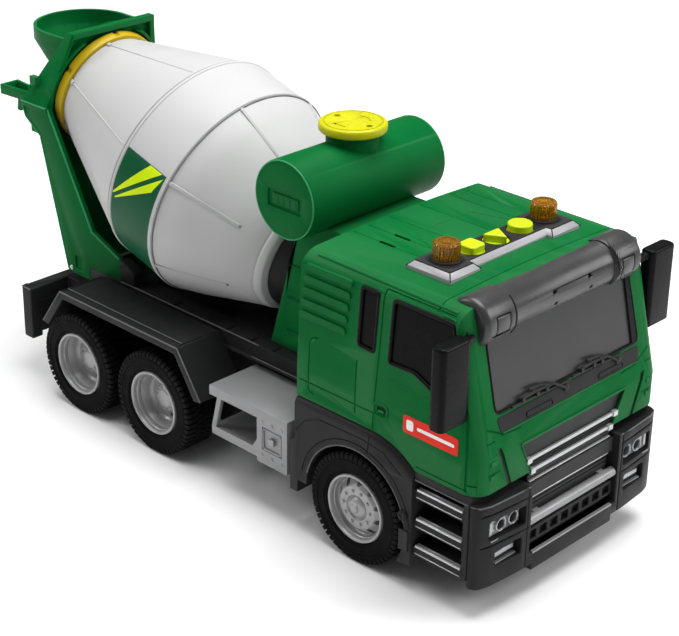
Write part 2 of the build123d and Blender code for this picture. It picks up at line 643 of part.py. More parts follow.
# ---------------------------------------------------------------------------------------------
# Mixing drum: rear cone, belt, front cone, mouth ring and shaft
# ---------------------------------------------------------------------------------------------
RING_BACK_S = MOUTH_S - RING_WIDTH
with BuildPart() as drum_rear_cone:
    revolve_on_drum([(MOUTH_S, MOUTH_R), (BELT_BACK_S, BELT_R), (BELT_BACK_S, BELT_R - DRUM_SKIN),
                     (MOUTH_S, MOUTH_R - DRUM_SKIN)])
finish(drum_rear_cone, "drum_rear_cone")

with BuildPart() as drum_belt:
    revolve_on_drum([(BELT_BACK_S, BELT_R), (BELT_FRONT_S, BELT_R), (BELT_FRONT_S, BELT_R - DRUM_SKIN),
                     (BELT_BACK_S, BELT_R - DRUM_SKIN)])
finish(drum_belt, "drum_belt")

with BuildPart() as drum_front_cone:
    revolve_on_drum([(BELT_FRONT_S, BELT_R), (NOSE_S - 1.0, NOSE_R + 0.4), (NOSE_S + 3.2, NOSE_R - 1.4),
                     (NOSE_S + 3.2, DRUM_SHAFT_R), (NOSE_S + 0.8, DRUM_SHAFT_R),
                     (NOSE_S - 1.0, NOSE_R - 2.2), (BELT_FRONT_S, BELT_R - DRUM_SKIN)])
finish(drum_front_cone, "drum_front_cone")

with BuildPart() as drum_ring:
    revolve_on_drum([(RING_BACK_S, COLLAR_R + RUN_GAP), (RING_BACK_S, RING_R), (MOUTH_S, RING_R),
                     (MOUTH_S, COLLAR_R + RUN_GAP)])
    for notch in range(6):
        angle = 2 * pi * notch / 6 + 0.5
        with BuildSketch(drum_plane(RING_BACK_S - 1)):
            with Locations((33.9 * cos(angle), 33.9 * sin(angle))):
                Circle(1.8)
        extrude(amount=4.5, mode=Mode.SUBTRACT)
finish(drum_ring, "drum_mouth_ring")

with BuildPart() as drum_shaft:
    with BuildSketch(drum_plane(NOSE_S - 8.0)):
        Circle(DRUM_SHAFT_R)
    extrude(amount=PEDESTAL_FACE_S + 6.0 - NOSE_S + 8.0)
finish(drum_shaft, "drum_shaft")

# ---------------------------------------------------------------------------------------------
# Rear frame, hopper, chute bracket and chute
# ---------------------------------------------------------------------------------------------
PLATE_FRONT_S = RING_BACK_S - 3.6
PLATE_BACK_S = PLATE_FRONT_S - 2.4
LIP_R = 36.2
SHOULDER_Z = 150.5
LEG_BEND = (-130.0, 133.0)
LEG_FOOT = (-111.0, 60.0)
PANEL_TOP = (-126.1, 118.0)
with BuildPart() as rear_frame:
    # Legs, from behind the deck up to the shoulders.
    for side in (-1, 1):
        low, high = sorted((side * LEG_OUT, side * (LEG_OUT - 3.0)))
        plate_xz([(-144.0, SHOULDER_Z), (-142.5, 141.5), LEG_BEND, LEG_FOOT, (DECK_REAR_X - 0.1, 60.0),
                  (DECK_REAR_X - 0.1, DECK_TOP), (-66.3, DECK_TOP), (-66.3, 80.3), (-89.0, 89.3),
                  (-123.0, SHOULDER_Z)], low, high)
        # Shoulder lip and the wing that leans in to the crossbar.
        low, high = sorted((side * (LEG_OUT + 1.2), side * (LEG_OUT - 3.0)))
        plate_xz([(-144.6, SHOULDER_Z - 2.7), (-122.4, SHOULDER_Z - 2.7), (-122.4, SHOULDER_Z),
                  (-144.6, SHOULDER_Z)], low, high)
        with BuildSketch(Plane.XY.offset(SHOULDER_Z)):
            with Locations((-133.5, side * (LEG_OUT - 1.5))):
                Rectangle(21.0, 3.0)
        with BuildSketch(Plane.XY.offset(FRAME_TOP)):
            with Locations((-112.8, side * (HOPPER_R - 1.2))):
                Rectangle(4.6, 3.0)
        loft()
    # Back panel between the legs, crossbar on top and foot bar behind the deck.
    plate_xz([PANEL_TOP, LEG_FOOT, (LEG_FOOT[0] + 2.4, LEG_FOOT[1]), (PANEL_TOP[0] + 2.4, PANEL_TOP[1])],
             -LEG_OUT + 1, LEG_OUT - 1)
    bar((-115.1, -HOPPER_R, 188.2), (-110.5, HOPPER_R, FRAME_TOP))
    bar((-111.0, -LEG_OUT, 60.0), (-108.2, LEG_OUT, 74.0))
    # Plate square to the drum, with the mouth's collar and a lip round the ring.
    with BuildSketch(drum_plane(PLATE_BACK_S)):
        Circle(LIP_R)
        with BuildLine():
            Polyline((36.0, -6.0), (26.5, 33.0), (-26.5, 33.0), (-36.0, -6.0), close=True)
        make_face()
        Circle(COLLAR_R - 2.4, mode=Mode.SUBTRACT)
    extrude(amount=PLATE_FRONT_S - PLATE_BACK_S)
    revolve_on_drum([(PLATE_FRONT_S, COLLAR_R - 2.4), (PLATE_FRONT_S, COLLAR_R), (MOUTH_S - 0.5, COLLAR_R),
                     (MOUTH_S - 0.5, COLLAR_R - 2.4)])
    with BuildSketch(drum_plane(PLATE_FRONT_S)):
        Circle(LIP_R)
        Circle(LIP_R - 1.8, mode=Mode.SUBTRACT)
        with Locations((0, 45)):
            Rectangle(100, 30, mode=Mode.SUBTRACT)
    extrude(amount=4.0)
finish(rear_frame, "rear_frame")

HOPPER_WALL = 1.8


def hopper_form(inset):
    """The hopper's funnel: an upright rim band over a tapering bowl."""
    radius = HOPPER_R - inset
    with BuildPart() as funnel:
        with BuildSketch(Plane.XY.offset(180.0)) as rim:
            with Locations((HOPPER_X, 0)):
                Circle(radius)
            with Locations((HOPPER_X + 20.0, 0)):
                Rectangle(40.0, 2 * radius)
        extrude(rim.sketch, amount=HOPPER_TOP - 180.0 + inset)
        with BuildSketch(Plane.XY.offset(180.0)) as upper:
            with Locations((HOPPER_X, 0)):
                Circle(radius)
            with Locations((HOPPER_X + 20.0, 0)):
                Rectangle(40.0, 2 * radius)
        with BuildSketch(Plane.XY.offset(146.0 + inset)) as lower:
            with Locations((HOPPER_X + 8.0, 0)):
                Circle(13.0 - inset)
            with Locations((HOPPER_X + 18.0, 0)):
                Rectangle(20.0, 26.0 - 2 * inset)
        loft(sections=[upper.sketch, lower.sketch])
    return funnel.part


with BuildPart() as hopper:
    add(hopper_form(0))
    add(hopper_form(HOPPER_WALL), mode=Mode.SUBTRACT)
    # The front is open where it meets the frame's plate.
    with BuildSketch(drum_plane(PLATE_BACK_S)):
        Rectangle(120, 160)
    extrude(amount=60, mode=Mode.SUBTRACT)
    add(rear_frame.part, mode=Mode.SUBTRACT)
finish(hopper, "hopper")

PIVOT_X = -176.0
PIVOT_R = 3.0
BRACKET_BOTTOM = 132.0
BRACKET_TOP = 138.0
with BuildPart() as chute_bracket:
    with BuildSketch(Plane.XY.offset(BRACKET_BOTTOM)):
        with BuildLine():
            Polyline((-124.0, -35.0), (-124.0, 35.0), (-142.0, 35.0), (PIVOT_X, 6.0), (PIVOT_X, -6.0),
                     (-142.0, -35.0), close=True)
        make_face()
    extrude(amount=BRACKET_TOP - BRACKET_BOTTOM)
    with BuildSketch(Plane.XY.offset(BRACKET_BOTTOM - 1)):
        with BuildLine():
            Polyline((-120.0, -32.0), (-120.0, 32.0), (-141.0, 32.0), (PIVOT_X + 9.0, 5.0),
                     (PIVOT_X + 9.0, -5.0), (-141.0, -32.0), close=True)
        make_face()
    extrude(amount=BRACKET_TOP - BRACKET_BOTTOM - 1.0, mode=Mode.SUBTRACT)
    with Locations((PIVOT_X, 0, BRACKET_BOTTOM)):
        Cylinder(6.0, BRACKET_TOP - BRACKET_BOTTOM, align=(Align.CENTER, Align.CENTER, Align.MIN))
        Cylinder(PIVOT_R + RUN_GAP, 40, mode=Mode.SUBTRACT)
    # It butts against the back panel and the back of the frame's plate.
    plate_xz([(-134.0, SHOULDER_Z), LEG_BEND, (-125.0, 115.0), (-90.0, 115.0), (-90.0, SHOULDER_Z)], -40, 40,
             mode=Mode.SUBTRACT)
    with BuildSketch(drum_plane(PLATE_BACK_S)):
        Rectangle(120, 160)
    extrude(amount=60, mode=Mode.SUBTRACT)
finish(chute_bracket, "chute_bracket")

# The chute is a narrow tray that widens rearwards and drops its load through a hole near the end. It hangs on
# an ear that turns about the upright pivot.
CHUTE_REAR_X = -HALF_LENGTH
CHUTE_FRONT_X = -186.0
CHUTE_FLOOR_Z = 130.4
CHUTE_RIM_Z = 136.4
EAR_Z = BRACKET_TOP + 0.3


def chute_plan(wall, floor_z, top_z, mode=Mode.ADD):
    """The chute's outline from above, moved inwards by its wall, between two heights."""
    rear_half, front_half = 6.4 - wall, 4.2 - wall
    with BuildSketch(Plane.XY.offset(floor_z)) as plan:
        with BuildLine():
            Polyline((CHUTE_REAR_X + wall, -rear_half), (CHUTE_FRONT_X, -front_half),
                     (CHUTE_FRONT_X, front_half), (CHUTE_REAR_X + wall, rear_half), close=True)
        make_face()
    extrude(plan.sketch, amount=top_z - floor_z, mode=mode)


with BuildPart() as chute:
    chute_plan(0, CHUTE_FLOOR_Z, CHUTE_RIM_Z)
    chute_plan(1.9, CHUTE_FLOOR_Z + 1.4, CHUTE_RIM_Z + 1, mode=Mode.SUBTRACT)
    # Drop hole at the end.
    bar((CHUTE_REAR_X + 3.0, -3.6, CHUTE_FLOOR_Z - 1), (CHUTE_REAR_X + 9.0, 3.6, CHUTE_RIM_Z),
        mode=Mode.SUBTRACT)
    bar((CHUTE_FRONT_X, -4.2, CHUTE_FLOOR_Z), (CHUTE_FRONT_X + 2.4, 4.2, EAR_Z + 3.0))
    # Ear over the pivot, its pin, and the grip under the trough.
    bar((CHUTE_FRONT_X + 2.4, -4.0, EAR_Z), (PIVOT_X, 4.0, EAR_Z + 3.0))
    with Locations((PIVOT_X, 0, EAR_Z)):
        Cylinder(5.0, 3.0, align=(Align.CENTER, Align.CENTER, Align.MIN))
        Cylinder(PIVOT_R, 8.0, align=(Align.CENTER, Align.CENTER, Align.MAX))
    plate_xz([(-199.0, CHUTE_FLOOR_Z), (-189.0, CHUTE_FLOOR_Z), (-194.0, 127.0), (-197.5, 121.8),
              (-200.5, 122.4)], -2.2, 2.2)
finish(chute, "chute")

# ---------------------------------------------------------------------------------------------
# Wheels and axles
# ---------------------------------------------------------------------------------------------
TYRE_IN = TRACK_OUT - TYRE_WIDTH
BARREL_R = 15.6
HUB_R = 4.6


def wheel_section(x):
    """The plane through a wheel's axle: local x is the radius, local y runs outwards to the right."""
    return Plane(origin=(x, 0, WHEEL_R), x_dir=(1, 0, 0), z_dir=(0, 0, -1))


def spin_axis(x):
    return Axis((x, 0, WHEEL_R), (0, 1, 0))


def ring_part(x, points, mode=Mode.ADD):
    """Turn an outline of (radius, distance out) points about an axle."""
    with BuildSketch(wheel_section(x)) as outline:
        with BuildLine():
            Polyline(*points, close=True)
        make_face()
    revolve(outline.sketch, axis=spin_axis(x), mode=mode)


FRONT_RIM = [(RIM_R, TYRE_IN + 1.2), (RIM_R, 66.8), (RIM_R - 1.0, 67.4), (BARREL_R, 66.0),
             (BARREL_R - 0.6, 62.4), (11.2, 65.6), (7.0, 65.6), (6.2, 66.4), (4.8, 67.9), (0, TRACK_OUT),
             (0, 62.0), (AXLE_R, 62.0), (AXLE_R, 48.0), (HUB_R, 48.0), (HUB_R, 62.8), (10.8, 63.2),
             (BARREL_R - 1.0, 60.0),
             (BARREL_R - 0.8, TYRE_IN + 1.2)]
REAR_RIM = [(RIM_R, TYRE_IN + 1.2), (RIM_R, 66.8), (RIM_R - 1.0, 67.4), (BARREL_R, 66.0), (12.6, 57.6),
            (11.4, 56.6), (7.0, 56.6), (6.2, 59.4), (4.2, 60.6), (0, 60.6), (0, 58.0), (AXLE_R, 58.0),
            (AXLE_R, 48.0), (HUB_R, 48.0), (HUB_R, 54.2), (11.6, 54.4), (14.2, 60.0),
            (BARREL_R - 0.8, TYRE_IN + 1.2)]
TYRE = [(RIM_R, TYRE_IN + 1.6), (19.4, TYRE_IN), (25.4, TYRE_IN), (WHEEL_R, TYRE_IN + 2.6),
        (WHEEL_R, TRACK_OUT - 2.6), (25.4, TRACK_OUT), (19.4, TRACK_OUT), (RIM_R, TRACK_OUT - 1.6)]

for place, axle_x in AXLES.items():
    with BuildPart() as rim:
        if place == "front":
            ring_part(axle_x, FRONT_RIM)
            vents, vent_r, vent_size = 10, 13.0, 1.5
        else:
            ring_part(axle_x, REAR_RIM)
            vents, vent_r, vent_size = 3, 9.3, 1.4
        with BuildSketch(upright(-TRACK_OUT - 1)) as holes:
            with Locations((axle_x, WHEEL_R)):
                with PolarLocations(vent_r, vents):
                    Circle(vent_size)
        extrude(amount=-14, mode=Mode.SUBTRACT)
    finish_pair(rim, f"{place}_rims")
    with BuildPart() as tyre:
        ring_part(axle_x, TYRE)
    finish_pair(tyre, f"{place}_tyres")
    with BuildPart() as axle:
        axle_half = 62.0 if place == "front" else 58.0
        rod_y(axle_x, WHEEL_R, AXLE_R, -axle_half, axle_half)
    finish(axle, f"{place}_axle")

# ---------------------------------------------------------------------------------------------
# Inertia motor on the rear axle: wheel gear, idler, flywheel and their housing
# ---------------------------------------------------------------------------------------------
IDLER_X = REAR_AXLE_X + GEAR_CENTRES
FLYWHEEL_X = IDLER_X + GEAR_CENTRES
STUD_R = 1.0


def gear(x, teeth, y_low, y_high, bore, phase):
    """A spur gear on an axle along Y: straight-sided teeth with ample backlash.

    The phase is the turn, in degrees, of the first tooth's middle from straight forward.
    """
    pitch_r = GEAR_MODULE * teeth / 2
    root_r = pitch_r - 1.2 * GEAR_MODULE
    tip_r = pitch_r + 0.75 * GEAR_MODULE
    root_half = 0.21 * 2 * pi / teeth * pitch_r
    tip_half = 0.09 * 2 * pi / teeth * pitch_r
    with BuildSketch(upright(y_high)) as blank:
        with Locations((x, WHEEL_R)):
            Circle(root_r)
            with PolarLocations(0, teeth, start_angle=phase):
                Polygon((root_r - 0.4, -root_half), (tip_r, -tip_half), (tip_r, tip_half),
                        (root_r - 0.4, root_half), align=None)
            Circle(bore, mode=Mode.SUBTRACT)
    extrude(blank.sketch, amount=y_high - y_low)


with BuildPart() as drive_gear:
    gear(REAR_AXLE_X, WHEEL_TEETH, 4.0, 8.0, AXLE_R, 0.0)
finish(drive_gear, "drive_gear")

# A pinion's tooth gap faces the wheel gear's tooth on the line between their centres.
with BuildPart() as idler_gear:
    gear(IDLER_X, PINION_TEETH, 3.6, 8.4, STUD_R + RUN_GAP, 180.0 + 180.0 / PINION_TEETH)
    gear(IDLER_X, WHEEL_TEETH, -1.0, 3.6, STUD_R + RUN_GAP, 0.0)
finish(idler_gear, "idler_gear")

with BuildPart() as flywheel:
    gear(FLYWHEEL_X, PINION_TEETH, -1.4, 4.0, STUD_R + RUN_GAP, 180.0 + 180.0 / PINION_TEETH)
    rod_y(FLYWHEEL_X, WHEEL_R, 12.0, 9.4, 19.4)
    rod_y(FLYWHEEL_X, WHEEL_R, 2.6, 4.0, 9.4)
    rod_y(FLYWHEEL_X, WHEEL_R, STUD_R + RUN_GAP, -5.0, 25.0, mode=Mode.SUBTRACT)
finish(flywheel, "flywheel")

HOUSING_Y = (-5.0, 23.0)
with BuildPart() as motor_housing:
    floor_z = TRAY_BOTTOM + WALL
    for wall_y in HOUSING_Y:
        bar((REAR_AXLE_X - 8, wall_y, floor_z), (FLYWHEEL_X + 8, wall_y + 1.6, 44.0))
        rod_y(REAR_AXLE_X, WHEEL_R, AXLE_R + RUN_GAP, wall_y - 1, wall_y + 3, mode=Mode.SUBTRACT)
    for tie_x in (REAR_AXLE_X - 8.0, FLYWHEEL_X + 5.0):
        bar((tie_x, HOUSING_Y[0], 42.4), (tie_x + 3, HOUSING_Y[1] + 1.6, 44.0))
    for stud_x in (IDLER_X, FLYWHEEL_X):
        rod_y(stud_x, WHEEL_R, STUD_R, HOUSING_Y[0], HOUSING_Y[1] + 1.6)
finish(motor_housing, "motor_housing")

# ---------------------------------------------------------------------------------------------
# Battery compartment and speaker
# ---------------------------------------------------------------------------------------------
CELL_R = 7.0
CELL_LENGTH = 48.0
CELL_Z = TRAY_BOTTOM + 3.0 + CELL_R
CELL_YS = (-15.0, 0.0, 15.0)
CELL_X0 = (BATTERY_X[0] + BATTERY_X[1] - CELL_LENGTH) / 2

with BuildPart() as battery_door:
    bar((BATTERY_X[0] + 0.2, -BATTERY_HALF + 0.2, TRAY_BOTTOM + RIB_HEIGHT),
        (BATTERY_X[1] - 0.2, BATTERY_HALF - 0.2, TRAY_BOTTOM + DOOR_THICK))
    # Grip ribs, flush with the underside of the tray.
    for rib in range(7):
        rib_x = BATTERY_X[0] + 12 + 6 * rib
        bar((rib_x, -14.0, TRAY_BOTTOM), (rib_x + 2, 14.0, TRAY_BOTTOM + RIB_HEIGHT))
finish(battery_door, "battery_door")

with BuildPart() as batteries:
    for cell_y in CELL_YS:
        with BuildSketch(Plane.YZ.offset(CELL_X0)) as cell:
            with Locations((cell_y, CELL_Z)):
                Circle(CELL_R)
        extrude(amount=CELL_LENGTH)
        with BuildSketch(Plane.YZ.offset(CELL_X0 + CELL_LENGTH)) as nub:
            with Locations((cell_y, CELL_Z)):
                Circle(2.6)
        extrude(amount=1.2)
finish(batteries, "batteries")

with BuildPart() as battery_contacts:
    for cell_y in CELL_YS:
        bar((CELL_X0 - 0.6, cell_y - 5, CELL_Z - 5), (CELL_X0, cell_y + 5, CELL_Z + 5))
        bar((CELL_X0 + CELL_LENGTH + 1.2, cell_y - 5, CELL_Z - 5),
            (CELL_X0 + CELL_LENGTH + 1.8, cell_y + 5, CELL_Z + 5))
finish(battery_contacts, "battery_contacts")

with BuildPart() as battery_cage:
    cage_x = (CELL_X0 - 2.2, CELL_X0 + CELL_LENGTH + 3.4)
    cage_top = CELL_Z + CELL_R + 1.8
    for wall_x in (cage_x[0], cage_x[1] - 1.6):
        bar((wall_x, -23.2, TRAY_BOTTOM + WALL), (wall_x + 1.6, 23.2, cage_top))
    bar((cage_x[0], -23.2, cage_top - 1.6), (cage_x[1], 23.2, cage_top))
    for wall_y in (-8.3, 6.7):
        bar((cage_x[0], wall_y, CELL_Z + 2.0), (cage_x[1], wall_y + 1.6, cage_top))
    add(batteries.part, mode=Mode.SUBTRACT)
finish(battery_cage, "battery_cage")

with BuildPart() as speaker:
    with Locations((SPEAKER_X, 0, TRAY_BOTTOM + WALL)):
        Cylinder(SPEAKER_R, 2.2, align=(Align.CENTER, Align.CENTER, Align.MIN))
        Cone(SPEAKER_R - 1.5, 7.5, 5.0, align=(Align.CENTER, Align.CENTER, Align.MIN))
        Cylinder(7.5, 7.6, align=(Align.CENTER, Align.CENTER, Align.MIN))
    with Locations((SPEAKER_X, 0, TRAY_BOTTOM + WALL - 0.01)):
        Cone(SPEAKER_R - 3.0, 4.0, 1.6, align=(Align.CENTER, Align.CENTER, Align.MIN), mode=Mode.SUBTRACT)
finish(speaker, "speaker")

# ---------------------------------------------------------------------------------------------
# Screws that hold the deck and the cab down on the tray, and the sound board under the roof
# ---------------------------------------------------------------------------------------------
with BuildPart() as screws:
    for screw_x, screw_y in TRAY_SCREWS:
        with Locations((screw_x, screw_y, TRAY_BOTTOM + HEAD_DEPTH)):
            Cylinder(2.2, 1.2, align=(Align.CENTER, Align.CENTER, Align.MAX))
            Cylinder(SCREW_R, 8.0, align=(Align.CENTER, Align.CENTER, Align.MIN))
    for post_x, post_y in BOARD_POSTS:
        with Locations((post_x, post_y, BOARD_TOP - 1.6)):
            Cylinder(2.2, 1.4, align=(Align.CENTER, Align.CENTER, Align.MAX))
            Cylinder(SCREW_R, 6.6, align=(Align.CENTER, Align.CENTER, Align.MIN))
finish(screws, "screws")
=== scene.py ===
import json
from math import cos, pi, radians, sin

import bmesh
import bpy
from mathutils import Matrix, Vector
from mathutils.bvhtree import BVHTree


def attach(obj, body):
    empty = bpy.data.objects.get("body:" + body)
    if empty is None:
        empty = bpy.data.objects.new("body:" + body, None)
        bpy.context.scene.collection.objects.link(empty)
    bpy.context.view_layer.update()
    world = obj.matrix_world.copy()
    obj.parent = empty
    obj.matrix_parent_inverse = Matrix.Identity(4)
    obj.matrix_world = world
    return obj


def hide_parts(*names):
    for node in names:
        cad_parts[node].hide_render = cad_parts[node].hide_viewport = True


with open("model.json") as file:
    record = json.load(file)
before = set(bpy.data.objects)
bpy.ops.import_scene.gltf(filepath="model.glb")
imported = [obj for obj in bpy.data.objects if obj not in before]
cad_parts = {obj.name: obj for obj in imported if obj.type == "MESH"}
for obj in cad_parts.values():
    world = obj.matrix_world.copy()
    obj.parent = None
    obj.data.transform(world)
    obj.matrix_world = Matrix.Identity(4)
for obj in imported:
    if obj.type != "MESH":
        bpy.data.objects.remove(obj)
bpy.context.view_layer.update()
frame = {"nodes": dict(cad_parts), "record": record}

# ---- Dimensions, in millimetres unless said otherwise; +X is forward, +Y the truck's left, +Z up ----
MM = 0.001
SIDES = (-1, 1)  # the truck's right and its left
WHEEL_R = 28.0
AXLES = {"rear": -68.6, "middle": -7.6, "front": 135.0}
TRACK_OUT = 68.0
DRUM_TILT = radians(16.96)
DRUM_POINT = Vector((10.0, 0.0, 115.3))
CAB_HALF = 66.0
CAB_NOSE = 206.0


# ---- Places and shapes ----
def along_y(x=0.0, z=0.0, y=0.0, side=-1):
    """Local Z runs out to the truck's right (side -1) or left (side 1); X is forward and Y up."""
    return Matrix(((1, 0, 0, x), (0, 0, side, y), (0, 1, 0, z), (0, 0, 0, 1)))


def upright(x, y, z):
    return Matrix.Translation((x, y, z))


def facing_front(x, y=0.0, z=0.0):
    """Local Z runs forward; local X is the truck's left and local Y is up."""
    return Matrix(((0, 0, 1, x), (1, 0, 0, y), (0, 1, 0, z), (0, 0, 0, 1)))


def drum_place():
    """Local Z runs forward along the drum's axis, X up in the drum's plane, Y to the truck's right."""
    c, s = cos(DRUM_TILT), sin(DRUM_TILT)
    return Matrix(((s, 0, c, DRUM_POINT.x), (0, -1, 0, DRUM_POINT.y), (c, 0, -s, DRUM_POINT.z), (0, 0, 0, 1)))


def band(n, low, high):
    """The faces between two rings of n points, given the number of each ring's first point."""
    return [[low + i, low + (i + 1) % n, high + (i + 1) % n, high + i] for i in range(n)]


def turned_over(faces):
    """The same faces, each with its first corner kept and the others in the opposite order."""
    return [face[:1] + face[:0:-1] for face in faces]


class Form:
    """Points in millimetres, and faces, gathered for one mesh."""

    def __init__(self):
        self.points = []
        self.faces = []

    def add(self, points, faces, place=None):
        base = len(self.points)
        place = place or Matrix.Identity(4)
        self.points += [place @ Vector(p) for p in points]
        self.faces += [[base + i for i in face] for face in faces]

    def loft(self, layers, place=None):
        """Outlines with the same number of points, joined one to the next and closed at both ends."""
        n = len(layers[0])
        top = n * (len(layers) - 1)
        faces = [list(range(n))[::-1], list(range(top, top + n))]
        for start in range(0, top, n):
            faces += band(n, start, start + n)
        self.add([point for layer in layers for point in layer], faces, place)

    def prism(self, outline, low, high, place=None):
        """An outline in local X and Y, drawn out from one local Z to another."""
        self.loft([[(x, y, z) for x, y in outline] for z in (low, high)], place)

    def block(self, low, high):
        (x0, y0, z0), (x1, y1, z1) = low, high
        self.prism([(x0, y0), (x1, y0), (x1, y1), (x0, y1)], z0, z1)

    def side_block(self, side, low, high):
        """A block on one side of the truck, with its Y values given outwards from the middle."""
        (x0, near, z0), (x1, far, z1) = low, high
        y0, y1 = sorted((side * near, side * far))
        self.block((x0, y0, z0), (x1, y1, z1))

    def lathe(self, profile, place=None, steps=72, start=0.0, sweep=2 * pi):
        """An outline of (radius, height) turned about local Z."""
        full = abs(sweep - 2 * pi) < 1e-6
        rows = steps if full else steps + 1
        n = len(profile)
        points, faces = [], []
        for i in range(rows):
            angle = start + sweep * i / steps
            points += [(r * cos(angle), r * sin(angle), h) for r, h in profile]
        for i in range(steps):
            here, there = i * n, ((i + 1) % rows) * n
            for j in range(n):
                k = (j + 1) % n
                faces.append([here + j, there + j, there + k, here + k])
        if not full:
            faces.append(list(range(n)))
            faces.append(list(range((rows - 1) * n, rows * n))[::-1])
        self.add(points, faces, place)

    def tube(self, path, radius, sides=8):
        """A round bar with flat ends along a path of points."""
        path = [Vector(p) for p in path]
        points, faces = [], []
        normal = None
        last = len(path) - 1
        for i, p in enumerate(path):
            ahead = path[min(i + 1, last)] - path[max(i - 1, 0)]
            ahead.normalize()
            if normal is None:
                normal = ahead.orthogonal().normalized()
            normal = (normal - ahead * normal.dot(ahead)).normalized()
            across = ahead.cross(normal)
            for j in range(sides):
                a = 2 * pi * j / sides
                points.append(p + normal * radius * cos(a) + across * radius * sin(a))
        for i in range(last):
            faces += band(sides, i * sides, (i + 1) * sides)
        faces.append(list(range(sides))[::-1])
        faces.append([last * sides + j for j in range(sides)])
        self.add(points, faces)

    def side_tube(self, side, y, path, radius):
        """A round bar at one distance from the truck's middle, its path given as (x, z)."""
        self.tube([(x, side * y, z) for x, z in path], radius)


def forms(count):
    return [Form() for _ in range(count)]


def rounded(low, high, radius, steps=4):
    """A rectangle's outline with round corners."""
    (x0, y0), (x1, y1) = low, high
    outline = []
    for cx, cy, start in ((x1 - radius, y1 - radius, 0), (x0 + radius, y1 - radius, 90),
                          (x0 + radius, y0 + radius, 180), (x1 - radius, y0 + radius, 270)):
        for i in range(steps + 1):
            a = radians(start + 90 * i / steps)
            outline.append((cx + radius * cos(a), cy + radius * sin(a)))
    return outline


def side_rounded(side, low, high, radius):
    """A rounded rectangle on one side of the truck, with its first values given outwards from the middle."""
    near, far = sorted((side * low[0], side * high[0]))
    return rounded((near, low[1]), (far, high[1]), radius)


def softened(points, radius, steps=4):
    """An outline with each corner rounded by a curve that starts a given length before it."""
    outline = []
    n = len(points)
    for i, point in enumerate(points):
        corner = Vector(point)
        before, after = Vector(points[i - 1]), Vector(points[(i + 1) % n])
        reach = min(radius, (before - corner).length * 0.45, (after - corner).length * 0.45)
        a = corner + (before - corner).normalized() * reach
        b = corner + (after - corner).normalized() * reach
        for k in range(steps + 1):
            t = k / steps
            p = a * (1 - t) ** 2 + corner * 2 * t * (1 - t) + b * t ** 2
            outline.append((p.x, p.y))
    return outline


def ellipse(half_wide, half_tall, steps=14):
    return [(half_wide * cos(2 * pi * i / steps), half_tall * sin(2 * pi * i / steps)) for i in range(steps)]


def circle(radius, steps=24):
    return ellipse(radius, radius, steps)


# ---- From shapes to pieces ----
def new_piece(name, points, faces, flatten=False):
    """An object from points in metres: doubled points are joined and every face is turned outwards."""
    mesh = bpy.data.meshes.new(name)
    mesh.from_pydata(points, [], faces)
    piece = bpy.data.objects.new(name, mesh)
    bpy.context.scene.collection.objects.link(piece)
    bm = bmesh.new()
    bm.from_mesh(mesh)
    bmesh.ops.remove_doubles(bm, verts=bm.verts, dist=2e-6)
    if flatten:
        bmesh.ops.dissolve_limit(bm, angle_limit=radians(0.6), verts=bm.verts, edges=bm.edges)
    bmesh.ops.recalc_face_normals(bm, faces=bm.faces)
    bm.to_mesh(mesh)
    bm.free()
    return piece


def as_object(form, name):
    return new_piece(name, [p * MM for p in form.points], form.faces)


def copy_of(node, name):
    """A CAD node's shape as a new piece, with its flat faces whole again."""
    source = frame["nodes"][node].data
    return new_piece(name, [v.co.copy() for v in source.vertices],
                     [list(p.vertices) for p in source.polygons],
                     flatten=True)


def bake(piece):
    """Turns a piece's modifiers into its mesh."""
    graph = bpy.context.evaluated_depsgraph_get()
    made = bpy.data.meshes.new_from_object(piece.evaluated_get(graph))
    piece.modifiers.clear()
    old = piece.data
    piece.data = made
    bpy.data.meshes.remove(old)


def carve(piece, cutters, join=False):
    """Cuts a form out of a piece, or joins it on."""
    tool = as_object(cutters, "cutter")
    cut = piece.modifiers.new("cut", "BOOLEAN")
    cut.operation = "UNION" if join else "DIFFERENCE"
    cut.solver = "EXACT"
    cut.use_self = True
    cut.object = tool
    bake(piece)
    bpy.data.objects.remove(tool)


def soften(piece, width, segments, angle):
    """Rounds the edges that are sharper than an angle; the width is in millimetres."""
    bevel = piece.modifiers.new("edges", "BEVEL")
    bevel.width = width * MM
    bevel.segments = segments
    bevel.limit_method = "ANGLE"
    bevel.angle_limit = radians(angle)
    bevel.use_clamp_overlap = False
    bake(piece)


def finish(piece, material, replaces=(), body="chassis", slot=None, cuts=None, bevel=0.0, segments=2,
           angle=34, crease=36):
    """Cuts a piece and rounds its edges, then gives it its shading, material and body, and hides the CAD nodes
    it replaces; slot is not used.
    """
    if cuts:
        carve(piece, cuts)
    if bevel:
        soften(piece, bevel, segments, angle)
    piece.data.materials.clear()
    piece.data.materials.append(material)
    for face in piece.data.polygons:
        face.use_smooth = True
        face.material_index = 0
    piece.data.set_sharp_from_angle(angle=radians(crease))
    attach(piece, body)
    if replaces:
        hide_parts(*replaces)


def make(form, name, material, *replaces, **options):
    finish(as_object(form, name), material, replaces, **options)


def moulded_from(node, name, material, **options):
    """A CAD node's shape with its edges rounded, in the node's place."""
    finish(copy_of(node, name), material, [node], **options)


# ---- Materials ----
SLOT_MATERIALS = {}  # the plain material of each slot, which is the first one made for it


